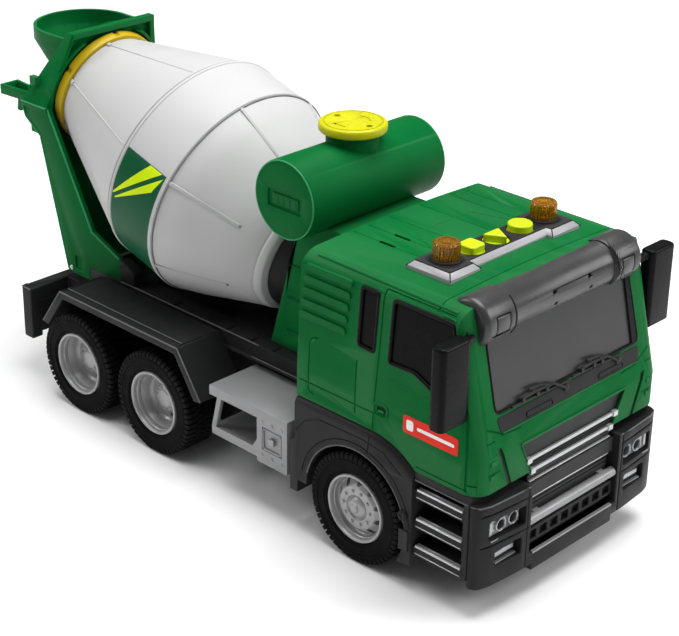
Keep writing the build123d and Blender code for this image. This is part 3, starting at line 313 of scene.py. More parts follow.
class Shading:
    """A new material and the nodes that are common to all of them."""

    def __init__(self, name):
        self.material = bpy.data.materials.new(name)
        self.material.use_nodes = True
        self.nodes, self.links = self.material.node_tree.nodes, self.material.node_tree.links
        self.inputs = self.nodes["Principled BSDF"].inputs
        self.coords = self.nodes.new("ShaderNodeTexCoord").outputs["Object"]

    def noise(self, scale, detail=2.0):
        node = self.nodes.new("ShaderNodeTexNoise")
        node.inputs["Scale"].default_value = scale
        node.inputs["Detail"].default_value = detail
        self.links.new(self.coords, node.inputs["Vector"])
        return node.outputs["Fac"]

    def span(self, value, *limits):
        """Carries a value over from one range (low, high) to another (low, high)."""
        node = self.nodes.new("ShaderNodeMapRange")
        for name, limit in zip(("From Min", "From Max", "To Min", "To Max"), limits):
            node.inputs[name].default_value = limit
        self.links.new(value, node.inputs["Value"])
        return node.outputs["Result"]

    def blend(self, factor, first, second):
        """Mixes two colours, each given as numbers or as a socket."""
        node = self.nodes.new("ShaderNodeMix")
        node.data_type = "RGBA"
        self.links.new(factor, node.inputs[0])
        for value, socket in ((first, node.inputs[6]), (second, node.inputs[7])):
            if isinstance(value, tuple):
                socket.default_value = (*value, 1.0)
            else:
                self.links.new(value, socket)
        return node.outputs[2]


def moulded(name, colour, roughness, slot=None, grain=1400.0, bump=0.12, shade=0.08, edge=0.10, metallic=0.0,
            coat=0.0, specular=0.5, transmission=0.0, subsurface=0.0):
    """Injection-moulded plastic: fine grain, faint clouds in the colour, and sharp edges made paler by a
    painted highlight of strength edge.
    """
    cloud = 38.0
    look = Shading(name)
    dark = tuple(c * (1 - shade) for c in colour)
    pale = tuple(min(1.0, c * (1 + shade)) for c in colour)
    # The paler colour of the painted highlight on sharp edges.
    edge_highlight_colour = tuple(min(1.0, c * 1.6 + 0.12) for c in colour)
    tone = look.blend(look.span(look.noise(cloud, 4.0), 0.3, 0.7, 0.0, 1.0), dark, pale)
    # Painted highlight: edges that Pointiness finds sharp blend towards that paler colour.
    geometry = look.nodes.new("ShaderNodeNewGeometry")
    edge_highlight_mask = look.span(geometry.outputs["Pointiness"], 0.52, 0.62, 0.0, edge)
    look.links.new(look.blend(edge_highlight_mask, tone, edge_highlight_colour), look.inputs["Base Color"])
    streaks = look.noise(cloud * 3.1, 3.0)
    look.links.new(look.span(streaks, 0.3, 0.7, roughness * 0.86, min(1.0, roughness * 1.16)),
                   look.inputs["Roughness"])
    lift = look.nodes.new("ShaderNodeBump")
    lift.inputs["Strength"].default_value = bump
    lift.inputs["Distance"].default_value = 0.0002
    look.links.new(look.noise(grain), lift.inputs["Height"])
    look.links.new(lift.outputs["Normal"], look.inputs["Normal"])
    for socket, value in (("Metallic", metallic), ("Coat Weight", coat), ("Coat Roughness", 0.12),
                          ("Specular IOR Level", specular), ("Transmission Weight", transmission),
                          ("IOR", 1.46),
                          ("Subsurface Weight", subsurface), ("Subsurface Radius", (0.004, 0.003, 0.001))):
        look.inputs[socket].default_value = value
    slot = slot or name
    SLOT_MATERIALS.setdefault(slot, look.material)
    return look.material


# The plain material of each slot.
GREEN = moulded("green_plastic", (0.0, 0.108, 0.022), 0.46, specular=0.05, edge=0.14)
BLACK = moulded("black_plastic", (0.014, 0.014, 0.0145), 0.46, grain=1700, shade=0.16, edge=0.14,
                specular=0.12)
GREY = moulded("dark_grey_plastic", (0.036, 0.036, 0.037), 0.3, grain=1700, bump=0.06, shade=0.1)
SILVER = moulded("silver_plastic", (0.25, 0.25, 0.255), 0.36, grain=2200, bump=0.1, metallic=0.3, shade=0.06)
GLAZING = moulded("smoked_glazing", (0.026, 0.026, 0.028), 0.34, bump=0.02, edge=0.0)
moulded("lamp_lens", (0.35, 0.36, 0.37), 0.16, bump=0.03, metallic=0.6, coat=0.6)
AMBER = moulded("amber_lens", (0.62, 0.3, 0.002), 0.08, bump=0.02, transmission=0.8, shade=0.1, edge=0.0)
BULB = moulded("bulb", (0.95, 0.8, 0.45), 0.12, "clear_lens", bump=0.02, transmission=0.3)
BUTTON = moulded("yellow_green_button", (0.47, 0.62, 0.0), 0.3, bump=0.04, coat=0.15,
                 subsurface=0.15, specular=0.3)
YELLOW = moulded("yellow_plastic", (0.46, 0.45, 0.0), 0.36, bump=0.08, specular=0.25, subsurface=0.06)
GOLD = moulded("gold_plastic", (0.44, 0.31, 0.006), 0.36, bump=0.08, specular=0.25)
DRUM = moulded("drum_plastic", (0.46, 0.46, 0.46), 0.42, grain=1500, bump=0.06, shade=0.02, edge=0.0,
               specular=0.15)
RUBBER = moulded("tyre_rubber", (0.0045, 0.0045, 0.0045), 0.6, grain=900, bump=0.14, shade=0.3, edge=0.04,
                 specular=0.05)
STEEL = moulded("steel", (0.55, 0.55, 0.56), 0.26, grain=2600, bump=0.1, metallic=1.0)
moulded("gear_plastic", (0.72, 0.72, 0.68), 0.45)
moulded("circuit_board", (0.02, 0.16, 0.06), 0.35, bump=0.05)
moulded("battery_wrap", (0.06, 0.10, 0.28), 0.3, bump=0.05, metallic=0.3)
moulded("speaker_card", (0.03, 0.03, 0.03), 0.7)

# Others that share a slot.
DECAL_GREEN = moulded("decal_green", (0.003, 0.075, 0.028), 0.4, "green_plastic", bump=0.05, specular=0.12)
DECAL_LIME = moulded("decal_lime", (0.55, 0.74, 0.0), 0.4, "yellow_green_button", bump=0.05, specular=0.15)
RED = moulded("label_red", (0.66, 0.018, 0.008), 0.4, "lamp_lens", bump=0.04, specular=0.1)
WHITE = moulded("label_white", (0.8, 0.8, 0.78), 0.4, "lamp_lens", bump=0.04, specular=0.15)
GLOSS_BLACK = moulded("gloss_black_plastic", (0.004, 0.004, 0.0045), 0.28, "black_plastic", bump=0.03,
                      edge=0.06, specular=0.07)
# Paler black and green for beads along the mouldings' edges: a painted highlight on those edges.
EDGE_HIGHLIGHT = moulded("black_edge_highlight", (0.085, 0.085, 0.087), 0.45, "black_plastic", bump=0.05, specular=0.3)
EDGE_HIGHLIGHT_GREEN = moulded("green_edge_highlight", (0.012, 0.24, 0.075), 0.42, "green_plastic", bump=0.05,
                     specular=0.3)
# Darker grey for the drum's seams: rings that paint shade into the grooves at the belt's edges, and short
# blocks at the front ribs' ends.
SEAM_SHADE = moulded("seam_shade_grey", (0.16, 0.16, 0.165), 0.6, "drum_plastic", bump=0.05)
# Near-black that paints shade in the slots, vents, step recesses and fog lamp openings, and draws the light
# bar's seam lines.
SHADE_AND_SEAM_BLACK = moulded("shade_and_seam_black", (0.004, 0.004, 0.004), 0.7, "black_plastic", bump=0.1)
TRIM = moulded("pale_trim", (0.30, 0.295, 0.31), 0.42, "silver_plastic", grain=2600, metallic=0.2)
RIM = moulded("rim_silver", (0.34, 0.34, 0.34), 0.36, "silver_plastic", grain=2200, bump=0.1,
              metallic=0.35, shade=0.06)
BRIGHT = moulded("bright_silver", (0.5, 0.5, 0.51), 0.32, "silver_plastic", grain=2200, bump=0.06, metallic=0.3,
                 shade=0.04)
CHROME = moulded("lamp_chrome", (0.34, 0.345, 0.355), 0.3, "lamp_lens", bump=0.03, metallic=0.5, shade=0.04)
DARK_GLAZING = moulded("dark_glazing", (0.002, 0.002, 0.0024), 0.3, "smoked_glazing", bump=0.02, edge=0.0,
                       specular=0.06)


def dress_cad_nodes():
    """Every CAD node that stays gets the material of its slot."""
    for part in frame["record"]["subparts"]:
        mesh = frame["nodes"][part["node"]].data
        mesh.materials.clear()
        mesh.materials.append(SLOT_MATERIALS[part["material_slot"]])


dress_cad_nodes()


# ---- Lines laid on a surface: grooves to cut, beads to add ----
def laid_on(piece, path, direction, step):
    """A path moved along a direction until it meets a piece's surface, with a point every few millimetres."""
    mesh = piece.data
    tree = BVHTree.FromPolygons([v.co / MM for v in mesh.vertices], [list(p.vertices) for p in mesh.polygons])
    found = []
    path = [Vector(p) for p in path]
    for first, last in zip(path, path[1:]):
        count = max(1, round((last - first).length / step))
        for i in range(count + (last is path[-1])):
            hit = tree.ray_cast(first.lerp(last, i / count) - direction * 60, direction)[0]
            if hit is not None:
                found.append(hit)
    return found


def line_on(form, piece, path, direction, radius, sink=0.0, step=2.0):
    """Adds a round line that lies along a piece's surface; sink moves it in along the direction."""
    direction = Vector(direction).normalized()
    found = laid_on(piece, path, direction, step)
    if len(found) > 1:
        form.tube([p + direction * sink for p in found], radius)


def side_line(form, piece, side, path, radius, y=CAB_HALF, **options):
    """A line down one of the truck's sides, its path given as (x, z)."""
    line_on(form, piece, [(x, side * y, z) for x, z in path], (0, -side, 0), radius, **options)


def front_line(form, piece, side, path, radius):
    """A line on the cab's front, its path given as (y, z) with y outwards from the middle."""
    line_on(form, piece, [(CAB_NOSE, side * y, z) for y, z in path], (-1, 0, 0), radius)


def top_line(form, piece, z, path, radius, **options):
    """A line on top of a piece, its path given as (x, y)."""
    line_on(form, piece, [(x, y, z) for x, y in path], (0, 0, -1), radius, **options)


# ---- Wheels ----
TYRE_IN = TRACK_OUT - 22.0
TREAD_R = 28.0
TREAD_BLOCKS = 56
TYRE_PROFILE = [(17.25, TYRE_IN + 2.0), (18.0, TYRE_IN + 1.0), (20.4, TYRE_IN + 0.4), (24.4, TYRE_IN + 0.2),
                (26.0, TYRE_IN + 1.0), (26.6, TYRE_IN + 2.2), (26.8, TYRE_IN + 5.0), (26.8, TRACK_OUT - 5.0),
                (26.6, TRACK_OUT - 2.2), (26.0, TRACK_OUT - 1.0), (24.6, TRACK_OUT - 0.25),
                (24.1, TRACK_OUT - 0.1), (23.7, TRACK_OUT - 0.1), (23.4, TRACK_OUT - 0.4),
                (20.4, TRACK_OUT - 0.5), (19.4, TRACK_OUT - 0.35), (18.9, TRACK_OUT - 0.8),
                (18.0, TRACK_OUT - 1.1),
                (17.25, TRACK_OUT - 1.9)]
# Tread rows: lowest and highest place across the tyre, share of the pitch that is block, offset in pitches.
TREAD_ROWS = [(0.5, 6.2, 0.72, 0.0), (6.8, 10.7, 0.78, 0.35),
              (11.3, 15.2, 0.78, 0.85), (15.8, 21.5, 0.72, 0.5)]


def tyre(form, place):
    form.lathe(TYRE_PROFILE, place, 96)
    pitch = 2 * pi / TREAD_BLOCKS
    for row, (low, high, share, offset) in enumerate(TREAD_ROWS):
        inner, outer = row == 0, row == len(TREAD_ROWS) - 1
        block = [(26.2, TYRE_IN + low), (27.2 if inner else TREAD_R, TYRE_IN + low),
                 (TREAD_R, TYRE_IN + low + (1.1 if inner else 0.1)),
                 (TREAD_R, TYRE_IN + high - (1.1 if outer else 0.1)),
                 (27.2 if outer else TREAD_R, TYRE_IN + high), (26.2, TYRE_IN + high)]
        if inner:
            block[0:1] = [(25.0, TYRE_IN + 1.6), (25.2, TYRE_IN + 0.3)]
        if outer:
            block[-1:] = [(25.2, TRACK_OUT - 0.3), (25.0, TRACK_OUT - 1.6)]
        for i in range(TREAD_BLOCKS):
            form.lathe(block, place, 2, start=pitch * (i + offset), sweep=pitch * share)


LIP = [(17.15, TYRE_IN + 1.4), (17.15, 66.7), (16.95, 67.3), (16.3, 67.5), (15.8, 67.2), (15.5, 66.2),
       (15.4, 65.0)]
DISH = LIP + [(15.0, 64.5), (14.9, 62.4), (14.3, 61.6), (13.6, 58.6), (12.9, 57.2), (12.0, 56.6), (8.2, 56.6),
              (7.7, 57.0), (7.4, 58.6), (6.9, 59.3), (5.2, 59.5), (4.9, 59.9), (3.6, 60.2), (0, 60.3),
              (0, 58.1), (2.0, 58.1), (4.4, 54.4), (11.4, 54.8), (14.0, 57.6), (15.6, 62.0),
              (16.2, TYRE_IN + 1.4)]
DOME = LIP + [(15.0, 64.6), (14.6, 63.0), (13.9, 62.4), (11.0, 65.2), (10.5, 65.6), (6.4, 65.7), (6.0, 64.9),
              (5.4, 64.6), (5.0, 65.4), (3.8, 66.3), (2.2, 66.7), (2.0, 67.6), (1.4, 67.9), (0, 68.0),
              (0, 62.1), (2.0, 62.1), (4.6, 62.1), (7.2, 63.2), (10.4, 63.4), (13.2, 60.6), (15.6, 61.4),
              (16.2, TYRE_IN + 1.4)]
NUTS = 10


def rim(form, cuts, place, front):
    """A wheel's metal: a dome with ten vents at the front, a dish with five behind, and a ring of nuts."""
    form.lathe(DOME if front else DISH, place, 80)
    vents, vent_r, long, wide = (10, 12.5, 1.35, 1.55) if front else (5, 10.0, 1.3, 1.0)
    for i in range(vents):
        turn = 2 * pi * (i + 0.5) / vents + (0.0 if front else 0.5)
        cuts.prism(ellipse(wide, long), 52, 72, place @ Matrix.Rotation(turn, 4, "Z") @ upright(vent_r, 0, 0))
    nut_r, nut_size, low, high = (8.4, 0.95, 65.3, 66.7) if front else (5.9, 0.5, 59.0, 60.1)
    for i in range(NUTS):
        spot = place @ Matrix.Rotation(2 * pi * i / NUTS, 4, "Z") @ upright(nut_r, 0, 0)
        form.prism(circle(nut_size, 6), low, high - 0.25, spot)
        form.prism(circle(nut_size * 0.62, 10), high - 0.25, high, spot)


def wheels():
    for axle, x in AXLES.items():
        rubber, metal, vents = forms(3)
        for side in SIDES:
            place = along_y(x, WHEEL_R, 0, side)
            tyre(rubber, place)
            rim(metal, vents, place, axle == "front")
        body = f"{axle}_wheels"
        make(rubber, f"{axle}_tyre_rubber", RUBBER, f"{axle}_tyres", body=body, crease=30)
        make(metal, f"{axle}_rim_metal", RIM, f"{axle}_rims", body=body, cuts=vents, bevel=0.12, segments=1,
             crease=30)


# ---- Drum ----
BACK_S, BELT_BACK, BELT_FRONT, NOSE_S = -131.7, -58.0, -24.0, 26.6
MOUTH_R, BELT_R, NOSE_R, SKIN = 31.6, 58.8, 35.2, 2.0
DRUM_STEPS = 160
RIBS = 7
RIB_START = radians(14.3)


def drum_radius(s):
    """The drum's outer radius at a distance along its axis."""
    if s <= BELT_BACK:
        return MOUTH_R + (BELT_R - MOUTH_R) * (s - BACK_S) / (BELT_BACK - BACK_S)
    if s <= BELT_FRONT:
        return BELT_R
    return BELT_R + (NOSE_R - BELT_R) * (s - BELT_FRONT) / (NOSE_S - BELT_FRONT)


def rib_on_drum(form, angle, start, end, width, height):
    """A straight bar along the drum's side."""
    points = []
    for s in (start, end):
        r = drum_radius(s)
        for across, lift in ((-width, -0.3), (-width * 0.8, height), (width * 0.8, height), (width, -0.3)):
            points.append(((r + lift) * cos(angle) - across / 2 * sin(angle),
                           (r + lift) * sin(angle) + across / 2 * cos(angle), s))
    faces = [[0, 1, 2, 3], [7, 6, 5, 4], [0, 4, 5, 1], [1, 5, 6, 2], [2, 6, 7, 3], [3, 7, 4, 0]]
    form.add(points, faces, drum_place())


def drum_patch(form, corners, lift=0.12, steps=10):
    """A thin panel on the belt with four corners given as (distance along the axis, degrees from the top)."""
    corner = [Vector((s, radians(a))) for s, a in corners]
    points, faces = [], []
    for layer in (lift, 0.02):
        for i in range(steps + 1):
            for j in range(steps + 1):
                u, v = i / steps, j / steps
                spot = corner[0].lerp(corner[1], u).lerp(corner[3].lerp(corner[2], u), v)
                r = drum_radius(spot[0]) + layer
                points.append((r * cos(spot[1]), r * sin(spot[1]), spot[0]))
    n = steps + 1
    for i in range(steps):
        for j in range(steps):
            a = i * n + j
            faces += [[a, a + 1, a + n + 1, a + n], [n * n + k for k in (a, a + n, a + n + 1, a + 1)]]
    border = [i * n for i in range(n)] + [steps * n + j for j in range(1, n)]
    border += [i * n + steps for i in range(steps - 1, -1, -1)] + [j for j in range(steps - 1, 0, -1)]
    for a, b in zip(border, border[1:] + border[:1]):
        faces.append([a, b, n * n + b, n * n + a])
    form.add(points, faces, drum_place())


def drum():
    place = drum_place()
    rear, belt, front, seams = forms(4)
    rear.lathe([(MOUTH_R - 0.5, BACK_S), (MOUTH_R, BACK_S + 0.5), (drum_radius(-60.0), -60.0),
                (drum_radius(-59.2), -59.2), (BELT_R - 0.9, BELT_BACK - 0.5), (BELT_R - SKIN, BELT_BACK - 0.3),
                (MOUTH_R - SKIN, BACK_S)], place, DRUM_STEPS)
    belt.lathe([(BELT_R - 1.0, BELT_BACK - 0.3), (BELT_R + 0.1, BELT_BACK), (BELT_R + 0.4, BELT_BACK + 0.3),
                (BELT_R + 0.4, BELT_BACK + 1.6), (BELT_R, BELT_BACK + 1.9), (BELT_R, BELT_FRONT - 2.5),
                (BELT_R + 0.4, BELT_FRONT - 2.2), (BELT_R + 0.4, BELT_FRONT - 0.4),
                (BELT_R - 0.1, BELT_FRONT), (BELT_R - 1.0, BELT_FRONT + 0.2), (BELT_R - SKIN, BELT_FRONT + 0.2),
                (BELT_R - SKIN, BELT_BACK - 0.3)], place, DRUM_STEPS)
    front.lathe([(BELT_R - 1.0, BELT_FRONT + 0.2), (BELT_R - 0.6, BELT_FRONT + 0.8),
                 (drum_radius(-10.0) + 0.5, -10.0), (drum_radius(8.0) + 0.3, 8.0), (NOSE_R + 0.5, NOSE_S - 1.0),
                 (NOSE_R - 0.3, NOSE_S - 0.6), (NOSE_R - 0.4, NOSE_S - 0.1), (NOSE_R + 0.1, NOSE_S + 0.3),
                 (NOSE_R + 0.1, NOSE_S + 1.0), (NOSE_R - 1.2, NOSE_S + 3.4), (NOSE_R - 1.8, NOSE_S + 3.9),
                 (2.1, NOSE_S + 3.9), (2.1, NOSE_S + 1.6), (NOSE_R - 2.4, NOSE_S),
                 (BELT_R - SKIN, BELT_FRONT + 0.2)], place, DRUM_STEPS)
    for i in range(RIBS):
        angle = RIB_START + 2 * pi * i / RIBS
        rib_on_drum(rear, angle, BACK_S + 1.0, BELT_BACK - 2.6, 0.9, 0.25)
        rib_on_drum(rear, angle, BACK_S + 0.2, BACK_S + 3.0, 2.6, 0.7)
        rib_on_drum(front, angle, BELT_FRONT + 0.8, 13.0, 2.1, 0.75)
        rib_on_drum(seams, angle, 13.0, 13.9, 1.5, 0.72)
    # Darker grey rings in the grooves at the belt's edges: painted shade in those grooves.
    for s in (BELT_BACK - 0.15, BELT_FRONT + 0.35):
        r = BELT_R + 0.02
        seams.lathe([(r - 0.6, s - 0.32), (r, s - 0.32), (r, s + 0.32), (r - 0.6, s + 0.32)], place,
                    DRUM_STEPS)
    make(rear, "drum_rear_cone_shell", DRUM, "drum_rear_cone", body="drum", bevel=0.15, segments=1)
    make(belt, "drum_belt_shell", DRUM, "drum_belt", body="drum", crease=30)
    make(front, "drum_front_cone_shell", DRUM, "drum_front_cone", body="drum", bevel=0.15, segments=1)
    make(seams, "drum_seams", SEAM_SHADE, body="drum")
    moulded_from("drum_mouth_ring", "mouth_ring", GOLD, body="drum", bevel=0.3)
    moulded_from("drum_bearing_plate", "bearing_plate", BLACK, bevel=0.4)


def drum_decals():
    """The same green panel and two stripes on the belt's right and left."""
    for name, turn in (("right", 0.0), ("left", 180.0)):
        panel, stripes = forms(2)
        for form, lift, steps, corners in (
                (panel, 0.12, 24, [(BELT_BACK + 2.1, 64.5), (BELT_FRONT - 2.7, 64.5), (BELT_FRONT - 2.7, 134.0),
                                   (BELT_BACK + 2.1, 134.0)]),
                (stripes, 0.2, 8, [(-55.6, 89.6), (-38.4, 64.8), (-29.6, 64.8), (-55.0, 90.0)]),
                (stripes, 0.2, 8, [(-53.6, 91.4), (-27.6, 66.4), (-31.0, 75.6), (-53.2, 91.9)])):
            drum_patch(form, [(s, angle + turn) for s, angle in corners], lift, steps)
        make(panel, f"drum_decal_{name}", DECAL_GREEN, body="drum", crease=30)
        make(stripes, f"drum_decal_stripes_{name}", DECAL_LIME, body="drum", crease=30)


# ---- Rear frame, hopper and chute ----
def rear_end():
    pockets, tabs, bolts, web, clear = forms(5)
    for side in SIDES:
        pockets.prism(rounded((-105.0, 63.6), (-99.0, 71.0), 1.0), 37.0, 40.0, along_y(side=side))
        tabs.block((-136.5, side * 36.6 - 1.6, 161.0), (-131.5, side * 36.6 + 1.6, 165.5))
        spot = along_y(-108.0, 62.8, 0, side)
        bolts.prism(circle(1.7, 6), 37.6, 38.7, spot)
        bolts.lathe([(0, 38.6), (1.2, 38.6), (1.0, 39.0), (0, 39.1)], spot, 16)
    # Web between the legs, above the back panel and cut out round the drum's ring.
    web.prism([(-126.3, 117.6), (-123.9, 117.6), (-127.6, 133.0), (-130.0, 133.0)], -36.5, 36.5, along_y())
    clear.lathe([(0, -150), (35.0, -150), (35.0, -126.0), (drum_radius(-90.0) + 1.6, -90.0), (0, -90.0)],
                drum_place(), 96)
    moulded_from("rear_frame", "rear_frame_moulding", GREEN, cuts=pockets, bevel=0.4, crease=40)
    make(tabs, "rear_frame_tabs", GREEN, bevel=0.2, segments=1)
    make(bolts, "rear_frame_bolts", STEEL, bevel=0.2, segments=1)
    make(web, "rear_frame_web", GREEN, cuts=clear, bevel=0.2, segments=1)
    moulded_from("hopper", "hopper_moulding", GREEN, crease=40)
    moulded_from("chute_bracket", "chute_bracket_moulding", GREEN, bevel=0.6)
    moulded_from("chute", "chute_moulding", GREEN, body="chute", bevel=0.45)


# ---- Tank and pedestal ----
TANK_X, TANK_Z, TANK_R, TANK_HALF = 66.0, 154.5, 19.6, 45.1
CAP_LOW = 178.1


def tank():
    body, neck, recesses, plates = forms(4)
    end = [(0, -TANK_HALF), (TANK_R - 1.2, -TANK_HALF), (TANK_R - 0.35, -TANK_HALF + 0.35),
           (TANK_R, -TANK_HALF + 1.2)]
    body.lathe(end + [(r, -h) for r, h in reversed(end)], along_y(TANK_X, TANK_Z), 120)
    neck.lathe([(0, 15.0), (12.9, 15.0), (12.9, 20.6), (12.5, 21.4), (12.5, 23.5), (0, 23.5)],
               upright(TANK_X, 0, TANK_Z), 64)
    for side in SIDES:
        spot = along_y(TANK_X, TANK_Z, 0, side)
        recesses.prism(rounded((-11.2, -5.4), (11.2, 3.6), 1.4), TANK_HALF - 1.0, TANK_HALF + 1, spot)
        plates.prism(rounded((-8.6, -3.6), (8.6, 1.8), 0.8), TANK_HALF - 1.2, TANK_HALF - 0.45, spot)
        for i in range(4):
            plates.prism(rounded((-7.4 + 4.0 * i, -2.8), (-4.6 + 4.0 * i, 1.0), 0.5), TANK_HALF - 0.6,
                         TANK_HALF - 0.2, spot)
    piece = as_object(body, "water_tank_body")
    carve(piece, neck, join=True)
    finish(piece, GREEN, ["water_tank"], cuts=recesses, bevel=0.22, angle=40, crease=34)
    make(plates, "tank_end_plates", GREEN, bevel=0.15, segments=1)


def pedestal():
    piece = copy_of("drum_pedestal", "pedestal_moulding")
    grooves = Form()
    for side in SIDES:
        for z in (78.0, 96.0, 114.0):
            side_line(grooves, piece, side, [(52.0, z), (88.0, z)], 0.35, y=30)
    finish(piece, GREEN, ["drum_pedestal"], cuts=grooves, bevel=0.5)


def tank_cap():
    cap, cuts = forms(2)
    top = upright(TANK_X, 0, CAP_LOW)
    cap.lathe([(0, 0), (15.9, 0), (16.4, 0.5), (16.5, 1.2), (16.5, 3.2), (16.1, 4.0), (15.2, 4.4), (0, 4.4)],
              top, 96)
    cap.lathe([(8.6, 0.1), (10.4, 0.1), (10.4, -6.0), (8.6, -6.0)], top, 64)
    cuts.lathe([(13.7, 3.9), (14.3, 3.9), (14.3, 5.0), (13.7, 5.0)], top, 96)
    cuts.lathe([(7.6, 3.9), (8.4, 3.9), (8.4, 5.0), (7.6, 5.0)], top, 24,
               start=radians(40), sweep=radians(70))
    for x in (-10.5, 10.5):
        cuts.prism(circle(1.6, 20), 1.6, 6, top @ upright(x, 0, 0))
    cuts.prism(rounded((-3.6, -9.8), (3.6, -8.6), 0.5), 3.9, 6, top)
    make(cap, "tank_cap_disc", YELLOW, "tank_cap", body="tank_cap", cuts=cuts, bevel=0.18, crease=34)


# ---- Cab: shell, glazing, label, cowl and wipers ----
def side_y(z):
    """How far the cab's side wall stands from the middle at a height."""
    return CAB_HALF - 2.8 * max(0.0, z - 88.0) / 56.2


def front_x(z):
    """How far forward the cab's front wall stands at a height."""
    for (x0, z0), (x1, z1) in (((CAB_NOSE, 0.0), (CAB_NOSE, 79.0)), ((CAB_NOSE, 79.0), (202.0, 95.0)),
                               ((202.0, 95.0), (190.5, 141.0)), ((190.5, 141.0), (188.5, 149.0))):
        if z <= z1:
            return x0 + (x1 - x0) * (z - z0) / (z1 - z0)
    return 188.5


def on_side(side):
    return lambda x, z, lift: (x, side * (side_y(z) + lift), z)


def on_locker(side):
    return lambda x, z, y: (x, side * y, z)


def on_front(y, z, lift):
    return (front_x(z) + lift, y, z)


def plate_on(form, outline, low, high, spot):
    """A thin plate that follows a wall, from one height above the wall to another."""
    form.loft([[spot(u, v, lift) for u, v in outline] for lift in (low, high)])


def edge_on(form, outline, lift, radius, spot):
    """A round bar that follows an outline on a wall."""
    path = [spot(u, v, lift) for u, v in outline]
    form.tube(path + path[:2], radius)


REAR_WINDOW = [(133.0, 111.0), (142.8, 110.4), (143.8, 139.0), (133.8, 139.0)]
DOOR_WINDOW = [(151.8, 108.8), (166.5, 109.4), (178.0, 104.4), (189.5, 104.4), (193.0, 110.0), (186.5, 138.6),
               (152.8, 138.6)]
WINDSCREEN = [(-51.3, 97.0), (51.3, 97.0), (50.3, 136.8), (-50.3, 136.8)]
SIDE_SEAMS = [
    [(147.0, 141.5), (146.4, 120.0), (145.2, 96.0), (144.0, 73.0)],
    [(108.5, 105.5), (105.2, 104.6), (103.5, 102.0), (103.4, 79.0), (104.4, 77.2), (107.0, 76.6)],
    [(133.0, 103.5), (133.0, 77.0)],
    [(97.0, 81.5), (103.4, 81.5)], [(103.6, 81.5), (132.8, 81.5)], [(133.2, 81.5), (144.2, 81.5)],
    [(199.0, 67.5), (203.2, 67.5)], [(147.0, 141.5), (186.0, 141.5)],
    [(170.5, 64.8), (199.0, 64.8)],
]
# From under the visor to the bumper.
CORNER_SEAM = [(189.8, 128.0), (197.5, 97.0), (198.8, 80.0), (198.8, 64.0)]
# The ledge above the radiator panel and the edges of the corner panel, each with its groove's radius.
FRONT_SEAMS = [([(58.0, 92.6), (47.7, 87.6)], 0.55), ([(47.7, 87.6), (36.0, 86.6)], 0.35),
               ([(59.0, 86.4), (54.2, 86.4)], 0.4)]
# The corner panel's slanted slot, and the slightly smaller dark plate behind it, as (y, z).
SLOT = [(53.4, 82.5), (50.6, 82.5), (42.8, 62.0), (45.6, 62.0)]
SLOT_BACK = [(53.1, 82.2), (50.9, 82.2), (43.1, 62.2), (45.3, 62.2)]


def cab_grooves(shell):
    cuts = Form()
    for side in SIDES:
        for path in SIDE_SEAMS:
            side_line(cuts, shell, side, path, 0.42)
        side_line(cuts, shell, side, CORNER_SEAM, 0.7)
        # Handle recess.
        plate_on(cuts, rounded((146.4, 82.6), (151.6, 86.4), 1.2), -1.0, 3.0, on_side(side))
        for path, radius in FRONT_SEAMS:
            front_line(cuts, shell, side, path, radius)
        plate_on(cuts, [(side * y, z) for y, z in SLOT], -0.9, 2.0, on_front)
        front_line(cuts, shell, side, [(59.0, 72.0), (51.5, 72.0)], 0.35)
    for y in (-33.0, -23.0, -9.0, 12.0, 33.0, 43.0):
        top_line(cuts, shell, 146, [(99, y), (141, y)], 0.2)
    top_line(cuts, shell, 146, [(176.5, y) for y in range(-62, 63, 2)], 0.36)
    for y in (-33.0, -23.0):
        cuts.prism(rounded((115.0, y - 0.9), (125.0, y + 0.9), 0.8), 143.0, 149.0)
    return cuts


def cab_trim(shell):
    """Gutter with a stepped end, waist bead, handle plate, corner ribs, and what stands up from the roof."""
    trim = Form()
    for side in SIDES:
        side_line(trim, shell, side, [(103.0, 143.2), (186.0, 142.6)], 0.75, sink=0.2)
        side_line(trim, shell, side, [(180.0, 140.4), (187.0, 140.0)], 0.5, sink=0.1)
        side_line(trim, shell, side, [(148.5, 101.5), (196.0, 98.5)], 0.45, sink=0.2)
        edge_on(trim, rounded((144.9, 81.4), (152.9, 87.6), 1.8), 0.1, 0.45, on_side(side))
        plate_on(trim, rounded((147.4, 83.4), (151.0, 84.8), 0.5), -0.8, 0.5, on_side(side))
        for z in (69.0, 76.0):
            plate_on(trim, side_rounded(side, (54.4, z), (58.0, z + 2.2), 0.5), -0.3, 0.5, on_front)
    ridge = [(142.0, -24), (121.0, -15), (121.0, 23), (142.0, 30)]
    pad = [(103 + 4 * cos(a), 38 + 3 * sin(a)) for a in (pi * k / 8 for k in range(17))]
    top_line(trim, shell, 148, ridge, 0.4, sink=0.15)
    top_line(trim, shell, 148, pad, 0.4, sink=0.15, step=0.8)
    make(trim, "cab_trim", GREEN, crease=50)


